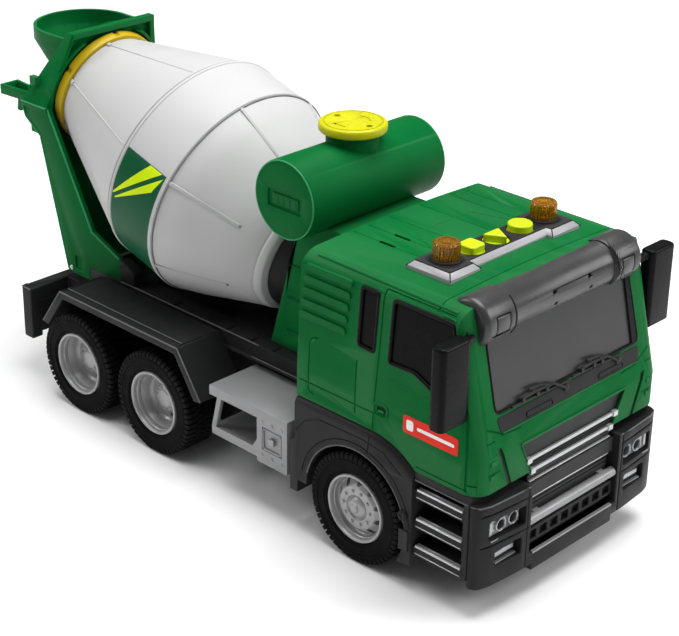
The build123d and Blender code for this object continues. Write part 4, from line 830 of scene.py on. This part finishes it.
def cab():
    shell = copy_of("cab_shell", "cab_moulding")
    finish(shell, GREEN, ["cab_shell"], cuts=cab_grooves(shell), crease=34)
    cab_trim(shell)
    slots, frames = forms(2)
    for side in SIDES:
        for window in (REAR_WINDOW, DOOR_WINDOW):
            edge_on(frames, softened(window, 1.8), -0.35, 0.95, on_side(side))
        # Near-black plates behind the corner slot and the handle recess: painted shade in those openings.
        plate_on(slots, [(side * y, z) for y, z in SLOT_BACK], -1.6, -0.7, on_front)
        plate_on(slots, rounded((146.8, 83.0), (151.2, 86.0), 0.8), -1.5, -0.85, on_side(side))
    edge_on(frames, softened(WINDSCREEN, 4.0), -0.2, 0.7, on_front)
    plate_on(frames, [(46.8, 97.2), (51.0, 97.2), (50.0, 136.0), (47.4, 136.0)], -0.4, 0.25, on_front)
    make(slots, "cab_slots", SHADE_AND_SEAM_BLACK)
    make(frames, "window_frames", GLOSS_BLACK, crease=50)
    moulded_from("windscreen", "windscreen_pane", GLAZING)
    moulded_from("side_windows", "side_panes", DARK_GLAZING)


def labels():
    """Plain door labels: a red panel with a white mark and stripe, and no lettering."""
    red, white = forms(2)
    for side in SIDES:
        plate_on(red, rounded((162.4, 79.6), (194.0, 88.2), 1.2), -0.1, 0.22, on_side(side))
        plate_on(white, rounded((164.4, 81.4), (168.4, 86.4), 1.0), 0.1, 0.32, on_side(side))
        plate_on(white, rounded((170.6, 83.1), (192.0, 84.7), 0.7), 0.1, 0.32, on_side(side))
    make(red, "door_labels", RED)
    make(white, "door_label_stripes", WHITE)


def cowl():
    strip, pale, vents = forms(3)
    outline = softened([(-49.5, 88.4), (49.5, 88.4), (51.0, 95.4), (-51.0, 95.4)], 1.6)
    plate_on(strip, outline, -0.4, 0.35, on_front)
    plate_on(pale, [(-48.5, 88.0), (48.5, 88.0), (48.6, 88.5), (-48.6, 88.5)], -0.3, 0.55, on_front)
    for middle in (-23.0, 28.6):
        edge_on(strip, rounded((middle - 9.0, 89.4), (middle + 9.0, 91.8), 1.1), 0.45, 0.35, on_front)
        # Near-black strips inside each vent's rim: painted shade in the vent openings.
        for i in range(9):
            y = middle - 7.6 + 1.9 * i
            plate_on(vents, [(y - 0.5, 89.8), (y + 0.5, 89.8), (y + 0.5, 91.4), (y - 0.5, 91.4)],
                     0.2, 0.45, on_front)
    make(strip, "cowl_strip", BLACK, bevel=0.15, segments=1)
    make(pale, "cowl_line", GREEN)
    make(vents, "cowl_vents", SHADE_AND_SEAM_BLACK)


def wiper(form, start, end, z0, z1):
    """A blade with a jointed arm over it, the arm's pivot and the blade's hooks."""
    def at(t, up, lift):
        return on_front(start + (end - start) * t, z0 + (z1 - z0) * t + up, lift)

    form.tube([at(0, 0, 0.8), at(0.5, 0.2, 0.8), at(1, 0, 0.8)], 0.5)
    form.tube([at(0.18, 1.8, 1.0), at(0.42, 2.6, 1.3), at(0.7, 2.4, 1.3), at(0.9, -2.0, 1.0)], 0.7)
    form.tube([at(0.3, 4.4, 0.9), at(0.52, 4.0, 1.2), at(0.62, 2.2, 1.2)], 0.55)
    form.lathe([(0, 0), (1.9, 0), (1.8, 1.3), (1.1, 1.7), (0, 1.7)],
               facing_front(front_x(93.6) - 0.2, start + (end - start) * 0.92, 93.6), 20)
    for t in (0.18, 0.42, 0.58):
        x, y, z = at(t, 1.0, 0.2)
        form.block((x, y - 0.9, z - 1.0), (x + 1.6, y + 0.9, z + 1.2))


def wipers():
    form = Form()
    wiper(form, -41.0, -0.7, 97.4, 96.0)
    wiper(form, 1.2, 37.5, 97.0, 95.6)
    make(form, "wiper_set", BLACK, "wipers", crease=50)


# ---- Visor, light bar, beacons, buttons and mirrors ----
def visor():
    piece = copy_of("visor", "visor_moulding")
    cuts = Form()
    for side in SIDES:
        low, high = sorted((side * 39.4, side * 48.6))
        for frame_low, frame_high in ((131.8, 132.3), (140.2, 140.7)):
            cuts.block((194.0, low, frame_low), (200.0, high, frame_high))
        for y in (low, high - 0.5):
            cuts.block((194.0, y, 131.8), (200.0, y + 0.5, 140.7))
        line_on(cuts, piece, [(200, side * 35.6, z) for z in (127, 130, 134, 138, 142, 146)],
                (-1, 0, 0), 0.45)
    for y in (-8.0, 17.0):
        cuts.prism(ellipse(1.5, 0.9), -1.6, 6.0, facing_front(194.8, y, 139.2))
        cuts.prism(ellipse(1.1, 0.8), -1.6, 6.0, facing_front(196.0, y + 1.5, 133.4))
    finish(piece, GREY, ["visor"], cuts=cuts, bevel=0.5, segments=3, angle=30, crease=40)


BAR_X, BAR_TOP, BEACON_Y = 155.5, 149.6, 33.75
BUTTON_HOLE_R = 6.5


def bar_outline(inset):
    """The light bar's outline from above, moved inwards: two pods joined by a narrower middle."""
    pod, middle, end, neck = 12.6 - inset, 9.4 - inset, 45.3 - inset, 25.0 + inset
    half = [(pod, -end), (pod, -neck), (middle, -neck), (middle, neck), (pod, neck), (pod, end)]
    return half + [(-x, -y) for x, y in half]


def light_bar():
    pale, dark, cuts, seams = forms(4)
    place = upright(BAR_X, 0, 0)
    pale.loft([[(x, y, z) for x, y in bar_outline(inset)]
               for z, inset in ((143.4, 0.0), (146.9, 0.0), (149.0, 2.2))],
              place)
    dark.prism(bar_outline(2.35), 144.0, BAR_TOP, place)
    for side in SIDES:
        dark.lathe([(5.2, 0), (7.3, 0), (7.2, 0.8), (6.6, 1.3), (5.2, 1.3)],
                   upright(BAR_X, side * BEACON_Y, BAR_TOP - 0.1), 40)
    for y in (-17.0, 0.0, 17.0):
        cuts.prism(circle(BUTTON_HOLE_R, 40), 138.0, 152.0, upright(BAR_X, y, 0))
    for x in SIDES:
        for y in SIDES:
            for low_y, low_z, high_y in ((45.6, 146.6, 42.5), (24.9, 146.8, 27.7)):
                seams.tube([(BAR_X + x * 12.9, y * low_y, low_z), (BAR_X + x * 9.8, y * high_y, 149.3)],
                           0.3, 6)
    make(pale, "light_bar_trim", TRIM, "light_bar", cuts=cuts, bevel=0.12, segments=1)
    make(dark, "light_bar_top", BLACK, slot="dark_grey_plastic", cuts=cuts, bevel=0.12, segments=1)
    make(seams, "light_bar_seams", SHADE_AND_SEAM_BLACK)


# A beacon's rings, each a share of the fluted outline at a height: over the top with its groove, then the
# hollow inside.
BEACON_RINGS = [(1, 1.0), (1, 8.0), (0.9, 8.8), (0.68, 8.8), (0.64, 8.3), (0.36, 8.3), (0.32, 8.8), (0.82, 1.0),
                (0.82, 7.4)]
FLUTE_POINTS = 72


def beacon_lens(form, spot):
    """A fluted lens, hollow from below."""
    n = FLUTE_POINTS
    ring = []
    for i in range(n):
        r = 6.05 + (0.2 if i % 3 else -0.15)
        ring.append((r * cos(2 * pi * i / n), r * sin(2 * pi * i / n)))
    points = [(x * share, y * share, height) for share, height in BEACON_RINGS for x, y in ring]
    faces = [face for row in range(6) for face in band(n, row * n, row * n + n)]
    faces.append([6 * n + i for i in range(n)])
    faces += turned_over(band(n, 0, 7 * n)) + turned_over(band(n, 7 * n, 8 * n))
    faces.append([8 * n + i for i in range(n)][::-1])
    form.add(points, faces, spot)


def beacons():
    lens, bulbs = forms(2)
    for side in SIDES:
        spot = upright(BAR_X, side * BEACON_Y, BAR_TOP)
        beacon_lens(lens, spot)
        bulbs.lathe([(0, 0), (2.6, 0), (2.6, 1.2), (1.5, 1.8), (1.5, 3.6), (0.9, 4.6), (0, 4.9)], spot, 24)
    make(lens, "beacon_lenses", AMBER, "beacons", crease=30)
    make(bulbs, "beacon_lamps", BULB, "beacon_bulbs")


def buttons():
    for shape in ("square", "triangle", "round"):
        node = f"button_{shape}"
        moulded_from(node, f"{node}_cap", BUTTON, body=node, bevel=0.3, segments=3)


def mirrors():
    moulded_from("mirrors", "mirror_housings", GLOSS_BLACK, bevel=0.7, segments=3, angle=30, crease=40)
    arms, knobs = forms(2)
    for side in SIDES:
        for z in (133.4, 102.6):
            arms.tube([(192.6, side * 60.5, z), (193.0, side * 66.0, z)], 1.5, 12)
        arms.side_block(side, (190.6, 61.0, 98.4), (194.6, 64.0, 106.4))
        knobs.lathe([(0, -1.6), (1.9, -1.2), (2.3, 0), (1.9, 1.2), (0, 1.6)],
                    along_y(193.4, 133.4, side * 66.5, side), 20)
    make(arms, "mirror_arms", BLACK, bevel=0.2, segments=1)
    make(knobs, "mirror_knobs", SILVER)


# ---- Front end: radiator panel, bumper and lamps ----
def radiator():
    cuts, bars, edge = forms(3)
    for z, half, depth in ((64.4, 29.7, 0.3), (65.6, 30.3, 0.3), (43.5, 29.5, 0.35), (45.5, 29.5, 0.35),
                           (50.5, 29.5, 0.35), (52.5, 29.5, 0.35), (54.5, 29.5, 0.35)):
        cuts.block((203.9, -half, z - depth), (206, half, z + depth))
    moulded_from("grille_panel", "radiator_panel", BLACK, cuts=cuts, bevel=0.12, segments=1)
    for z, half in ((68.5, 33.0), (62.3, 30.0)):
        outline = [(204.6, z - 0.8), (206.0, z - 0.8), (206.2, z), (206.0, z + 0.8), (204.6, z + 0.8)]
        bars.prism(softened(outline, 0.3), -half, half, along_y(side=1))
        for side in SIDES:
            bars.side_block(side, (204.6, half, z - 1.3), (206.7, half - 3.2, z + 1.3))
    bars.block((204.4, -29.6, 47.6), (205.6, 29.6, 48.3))
    bars.block((204.4, -29.6, 56.6), (205.6, 29.6, 57.2))
    make(bars, "grille_bar_set", BRIGHT, "grille_bars", bevel=0.12, segments=1)
    edge.tube([(206.2, -37.6, 79.3), (206.2, 37.6, 79.3)], 0.5)
    for side in SIDES:
        edge.tube([(206.2, side * 37.8, 79.2), (206.2, side * 28.6, 60.6)], 0.4)
    make(edge, "radiator_surround", GREEN)


# Half of the bumper's outline from above.
BUMPER_HALF = [(201.5, -65.5), (203.4, -65.5), (206.4, -64.0), (208.2, -58.5), (209.9, -38.0)]
GROOVE_STEPS = 6


def bumper_grooves(openings, side):
    """Grooves that follow the bumper's face in short steps, above and below the lamps."""
    for z in (37.0, 53.0):
        y0, y1 = sorted((side * 33.5, side * 63.0))
        for k in range(GROOVE_STEPS):
            ya, yb = (y0 + (y1 - y0) * step / GROOVE_STEPS for step in (k, k + 1))
            deep = 209.3 - 3.8 * max(0.0, (abs(ya + yb) / 2 - 38.0) / 27.0)
            openings.block((deep, ya, z - 0.35), (215, yb, z + 0.35))


def bumper():
    body, openings, lip = forms(3)
    body.prism(softened(BUMPER_HALF + [(x, -y) for x, y in reversed(BUMPER_HALF)], 3.0, 3), 16.0, 58.0)
    openings.block((195, -32.0, 22.0), (215, 32.0, 70))
    for side in SIDES:
        for near, far, low, high in ((36.0, 59.0, 40.0, 49.5), (38.0, 55.0, 25.5, 34.0)):
            openings.prism(side_rounded(side, (near, low), (far, high), 1.4), 205.5, 215, facing_front(0))
        bumper_grooves(openings, side)
        openings.block((209.4, side * 34.6 - 0.35, 14), (215, side * 34.6 + 0.35, 60))
    make(body, "bumper_moulding", BLACK, "front_bumper", cuts=openings, bevel=0.45, segments=3,
         angle=38, crease=40)
    lip.block((203.6, -30.0, 12.5), (210.0, 30.0, 22.0))
    lip.block((201.6, -32.0, 21.4), (204.4, 32.0, 26.0))
    make(lip, "bumper_lip", BLACK, bevel=0.8, segments=3)


def lower_front():
    """The lower intake, the bumper's pale lines and the silver rod."""
    block, holes, lines, rod = forms(4)
    block.block((203.6, -31.6, 26.0), (207.6, 31.6, 33.4))
    block.block((203.6, -31.6, 48.8), (206.4, 31.6, 56.2))
    for i in range(8):
        y = -27.3 + 7.8 * i
        holes.block((205.4, y - 2.6, 27.3), (209, y + 2.6, 31.7))
    lines.block((208.4, -29.4, 21.0), (209.95, 29.4, 22.3))
    lines.block((209.3, -28.5, 14.2), (209.95, 28.5, 14.8))
    rod.lathe([(0, -31.9), (2.0, -31.9), (2.4, -31.5), (2.4, 31.5), (2.0, 31.9), (0, 31.9)],
              along_y(207.0, 38.0), 32)
    for side in SIDES:
        lines.side_block(side, (206.4, 37.0, 39.2), (208.6, 58.0, 39.7))
        lines.side_block(side, (206.4, 39.5, 25.9), (207.9, 53.5, 26.5))
        rod.block((203.8, side * 24.0 - 2.0, 35.4), (206.8, side * 24.0 + 2.0, 40.6))
    make(block, "lower_intake", BLACK, cuts=holes, bevel=0.3, segments=1)
    make(lines, "bumper_lines", SILVER)
    make(rod, "bumper_rod", SILVER, "bumper_tube", crease=40)


def lamps():
    backs, glass, shade = forms(3)
    for side in SIDES:
        backs.side_block(side, (205.4, 58.6, 40.4), (206.2, 36.4, 49.1))
        # A near-black plate behind the fog lamp: painted shade in its opening.
        shade.side_block(side, (205.4, 54.6, 25.9), (206.0, 38.4, 33.6))
        for y in (41.8, 50.2):
            spot = facing_front(206.2, side * y, 44.8)
            r = 3.5
            backs.lathe([(r, -0.4), (r, 1.1), (r - 0.5, 1.3), (r - 0.8, 1.1), (r - 1.1, 0.1), (r - 1.1, -0.4)],
                        spot, 32)
            glass.lathe([(0, 0), (2.3, 0), (2.1, 0.7), (1.2, 1.1), (0, 1.2)], spot, 28)
        backs.side_block(side, (206.0, 56.0, 42.0), (207.0, 57.6, 48.0))
        backs.side_block(side, (205.8, 52.8, 28.6), (206.8, 40.2, 30.9))
    make(backs, "lamp_reflectors", CHROME, "bumper_lamps", bevel=0.12, segments=1)
    make(glass, "lamp_bowls", DARK_GLAZING)
    make(shade, "fog_lamp_backs", SHADE_AND_SEAM_BLACK)


# ---- Chassis side: steps, mudguards, fenders, lockers, deck, tray and rear bumper ----
def steps():
    moulded_from("entry_steps", "entry_step_mouldings", BLACK, bevel=0.4)
    treads, recess = forms(2)
    for side in SIDES:
        for top in (53.0, 38.0, 23.8):
            for out, wide in ((66.0, 1.1), (64.2, 0.9)):
                treads.side_block(side, (171.6, out, top - 0.2), (198.0, out - wide, top + 1.0))
            treads.side_block(side, (171.6, 66.2, top - 3.4), (198.0, 65.6, top - 2.9))
            # Near-black plates on the treads, and on the upper two steps' inner faces below them: painted shade
            # in the step recesses.
            near, far = sorted((side * 62.6, side * 55.0))
            recess.prism(rounded((174.0, near), (195.5, far), 2.6), top - 0.2, top + 0.12)
        for top in (53.0, 38.0):
            recess.side_block(side, (173.0, 54.3, top - 13.2), (196.0, 53.9, top - 5.0))
    make(treads, "step_tread_strips", BRIGHT, "step_treads", bevel=0.15, segments=1)
    make(recess, "step_recesses", SHADE_AND_SEAM_BLACK)


def front_arch(radius, first, step, count):
    """Points (x, z) round the front wheel, starting at an angle in degrees from the front."""
    angles = (radians(first + step * k) for k in range(count))
    return [(AXLES["front"] + radius * cos(a), WHEEL_R + radius * sin(a)) for a in angles]


GUARD_OUT = 67.5
GUARD_LINE = [(97.0, 55.0), (103.0, 62.0), (112.0, 66.0), (140.0, 66.6), (152.0, 65.0), (163.0, 58.0)]


def mudguards():
    guard = copy_of("front_mudguards", "mudguard_mouldings")
    cuts, bosses = forms(2)
    arch = [(x, z) for x, z in front_arch(34.6, 8, 5.0, 33) if z > 28.5 and x > 99]
    for side in SIDES:
        for path, radius in ((arch, 0.4), ([(143.6, 70.0), (142.6, 60.5)], 0.4), (GUARD_LINE, 0.3)):
            side_line(cuts, guard, side, path, radius, y=GUARD_OUT)
        bosses.lathe([(0, 0), (2.6, 0), (2.6, 1.2), (2.0, 1.7), (1.0, 1.7), (0.8, 1.2), (0, 1.2)],
                     along_y(165.4, 38.4, side * 67.3, side), 28)
        bosses.side_block(side, (163.4, 67.3, 20.5), (168.8, 68.3, 31.0))
    finish(guard, BLACK, ["front_mudguards"], cuts=cuts, crease=40)
    make(bosses, "mudguard_bosses", BLACK, bevel=0.15, segments=1)


def fender_outline(depth):
    """The rear fender from the side: a band of one depth over both rear wheels."""
    return [(-97.0, 44.4), (-80.5, 67.0), (13.0, 67.0), (30.0, 42.5),
            (30.0 - depth * 1.25, 42.5 - depth * 0.2), (13.0 - depth * 0.55, 67.0 - depth),
            (-80.5 + depth * 0.55, 67.0 - depth), (-97.0 + depth * 1.25, 44.4 - depth * 0.2)]


def fenders():
    form = Form()
    for side in SIDES:
        for depth, low, high in ((2.4, 39.2, 66.0), (4.0, 65.4, 68.0)):
            form.prism(fender_outline(depth), low, high, along_y(side=side))
        form.side_block(side, (-78.5, 63.4, 66.6), (11.4, 62.6, 67.5))
        for x in (-79.4, 11.9):
            form.side_block(side, (x - 0.4, 66.8, 66.6), (x + 0.4, 40.0, 67.3))
    make(form, "fender_mouldings", BLACK, "rear_fenders", bevel=0.6, segments=3, crease=40)


def edge_beads():
    """Thin beads along the long edges of the black and the green mouldings, in paler colours that paint a
    highlight on those edges.
    """
    black, green = forms(2)
    turns = (2 * pi * k / 60 for k in range(61))
    tank_rim = [(TANK_X + 19.0 * cos(a), TANK_Z + 19.0 * sin(a)) for a in turns]
    for side in SIDES:
        for y, radius, path in (
                (67.7, 0.42, [(-96.4, 44.8), (-80.6, 66.7), (13.0, 66.7), (29.6, 42.9)]),
                (63.0, 0.34, [(-79.0, 67.4), (11.6, 67.4)]),
                (37.8, 0.34, [(-66.0, 67.9), (40.4, 67.9)]),
                (38.6, 0.34, [(36.4, 60.4), (95.0, 60.4)])):
            black.side_tube(side, y, path, radius)
        for radius, path in ((0.4, [(-118.2, 59.6, 52.8), (-125.6, 59.6, 52.8), (-125.8, 56.0, 52.9)]),
                             (0.4, [(202.0, 65.2, 57.6), (203.6, 65.0, 57.6), (206.2, 63.6, 57.6),
                                    (208.0, 58.4, 57.6), (209.4, 40.0, 57.6), (209.5, 33.0, 57.6)]),
                             (0.34, [(170.4, 66.0, 58.2), (201.0, 66.0, 58.2)])):
            black.tube([(x, side * y, z) for x, y, z in path], radius)
        black.side_tube(side, 67.3, front_arch(31.3, 12, 6.0, 27), 0.4)
        for y, radius, path in (
                (38.0, 0.5, [(-67.0, 80.6), (-89.0, 89.2), (-122.6, 149.6)]),
                (39.1, 0.4, [(-144.0, 150.2), (-122.8, 150.2)])):
            green.side_tube(side, y, path, radius)
        green.tube([(-144.2, side * 38.6, 149.0), (-142.4, side * 37.9, 141.4), (-130.2, side * 37.9, 133.2),
                    (-111.2, side * 37.9, 61.0)], 0.4)
        green.side_tube(side, 45.0, tank_rim, 0.4)
    make(black, "black_edge_highlight_beads", EDGE_HIGHLIGHT, crease=60)
    make(green, "green_edge_highlight_beads", EDGE_HIGHLIGHT_GREEN, crease=60)


def stop_blocks():
    """Rounded caps on the stop blocks that carry the rear legs' ridge on to the deck."""
    form = Form()
    outline = softened([(-66.2, 69.0), (-54.8, 69.0), (-54.8, 75.2), (-58.0, 77.8), (-66.2, 80.8)], 1.6)
    for side in SIDES:
        low, high = sorted((side * 38.0, side * 32.0))
        form.prism(outline, low - 0.15, high + 0.15, along_y(side=1))
    make(form, "stop_block_caps", BLACK, bevel=0.6, segments=3)


def lockers():
    moulded_from("side_lockers", "locker_mouldings", SILVER, bevel=0.28)
    details = Form()
    for side in SIDES:
        edge_on(details, rounded((74.2, 35.2), (86.2, 46.0), 1.0), 67.0, 0.35, on_locker(side))
        details.side_block(side, (78.6, 66.9, 39.0), (81.8, 67.7, 42.2))
    make(details, "locker_details", SILVER)


def deck():
    piece = copy_of("deck", "deck_moulding")
    cuts = Form()
    for x in (-62.0, -24.0, 16.0, 34.0, 50.0):
        for side in SIDES:
            top_line(cuts, piece, 72, [(x, side * 31.0), (x, side * 37.4)], 0.35)
    finish(piece, BLACK, ["deck"], cuts=cuts, bevel=0.4, crease=40)


def rear_bumper():
    moulded_from("rear_bumper", "rear_bumper_moulding", BLACK, bevel=0.7, segments=3)
    form = Form()
    for side in SIDES:
        for y in (50.0, 42.0):
            form.block((-126.4, side * y - 2.5, 42.0), (-125.6, side * y + 2.5, 49.0))
    make(form, "rear_lamps", RED, bevel=0.2, segments=1)


for build in (wheels, drum, drum_decals, rear_end, tank, pedestal, tank_cap, cab, labels, cowl, wipers, visor,
              light_bar, beacons, buttons, mirrors, radiator, bumper, lower_front, lamps, steps, mudguards,
              fenders, edge_beads, stop_blocks, lockers, deck, rear_bumper):
    build()


# ---- Studio, in metres: floor, lights and camera ----
FLOOR_HALF = 6.0


def floor_material():
    """Matt white card with the faintest mottling."""
    look = Shading("floor_card")
    tone = look.blend(look.noise(3.0, 3.0), (0.90, 0.90, 0.90), (0.93, 0.93, 0.93))
    look.links.new(tone, look.inputs["Base Color"])
    look.inputs["Roughness"].default_value = 0.75
    look.inputs["Specular IOR Level"].default_value = 0.12
    return look.material


def floor():
    mesh = bpy.data.meshes.new("studio_floor")
    corners = [(-1, -1), (1, -1), (1, 1), (-1, 1)]
    mesh.from_pydata([(x * FLOOR_HALF, y * FLOOR_HALF, 0) for x, y in corners], [], [[0, 1, 2, 3]])
    mesh.materials.append(floor_material())
    piece = bpy.data.objects.new("studio_floor", mesh)
    bpy.context.scene.collection.objects.link(piece)


def softbox(name, spot, target, size, power):
    """A square lamp at a spot, facing a target."""
    light = bpy.data.lights.new(name, "AREA")
    light.shape = "RECTANGLE"
    light.size = light.size_y = size
    light.energy = power
    lamp = bpy.data.objects.new(name, light)
    lamp.location = spot
    lamp.rotation_mode = "QUATERNION"
    lamp.rotation_quaternion = (Vector(target) - Vector(spot)).to_track_quat("-Z", "Y")
    bpy.context.scene.collection.objects.link(lamp)


def lights():
    world = bpy.data.worlds.new("studio")
    bpy.context.scene.world = world
    world.use_nodes = True
    sky = world.node_tree.nodes["Background"]
    sky.inputs["Color"].default_value = (1, 1, 1, 1)
    sky.inputs["Strength"].default_value = 0.2
    softbox("overhead", (0.05, 0.15, 1.3), (0.0, 0.0, 0.1), 1.1, 27.0)
    softbox("front", (1.1, 0.8, 0.75), (0.15, 0, 0.1), 0.7, 9.0)
    softbox("rim", (-0.9, -0.7, 0.9), (-0.05, 0, 0.12), 0.5, 5.5)


def camera():
    azimuth, elevation, roll = radians(43.94), radians(25.6), radians(0.87)
    back = Vector((sin(azimuth) * cos(elevation), -cos(azimuth) * cos(elevation), sin(elevation)))
    level = Vector((cos(azimuth), sin(azimuth), 0))
    upward = back.cross(level)
    across = cos(roll) * level + sin(roll) * upward
    above = -sin(roll) * level + cos(roll) * upward
    data = bpy.data.cameras.new("camera")
    data.lens = 94.2
    data.sensor_width = 36.0
    data.clip_start, data.clip_end = 0.05, 20.0
    view = bpy.data.objects.new("camera", data)
    rotation = Matrix((across, above, back)).transposed().to_4x4()
    view.matrix_world = Matrix.Translation((0.6142, -0.5761, 0.4602)) @ rotation
    bpy.context.scene.collection.objects.link(view)
    bpy.context.scene.camera = view
    bpy.context.scene.view_settings.view_transform = "Standard"


floor()
lights()
camera()
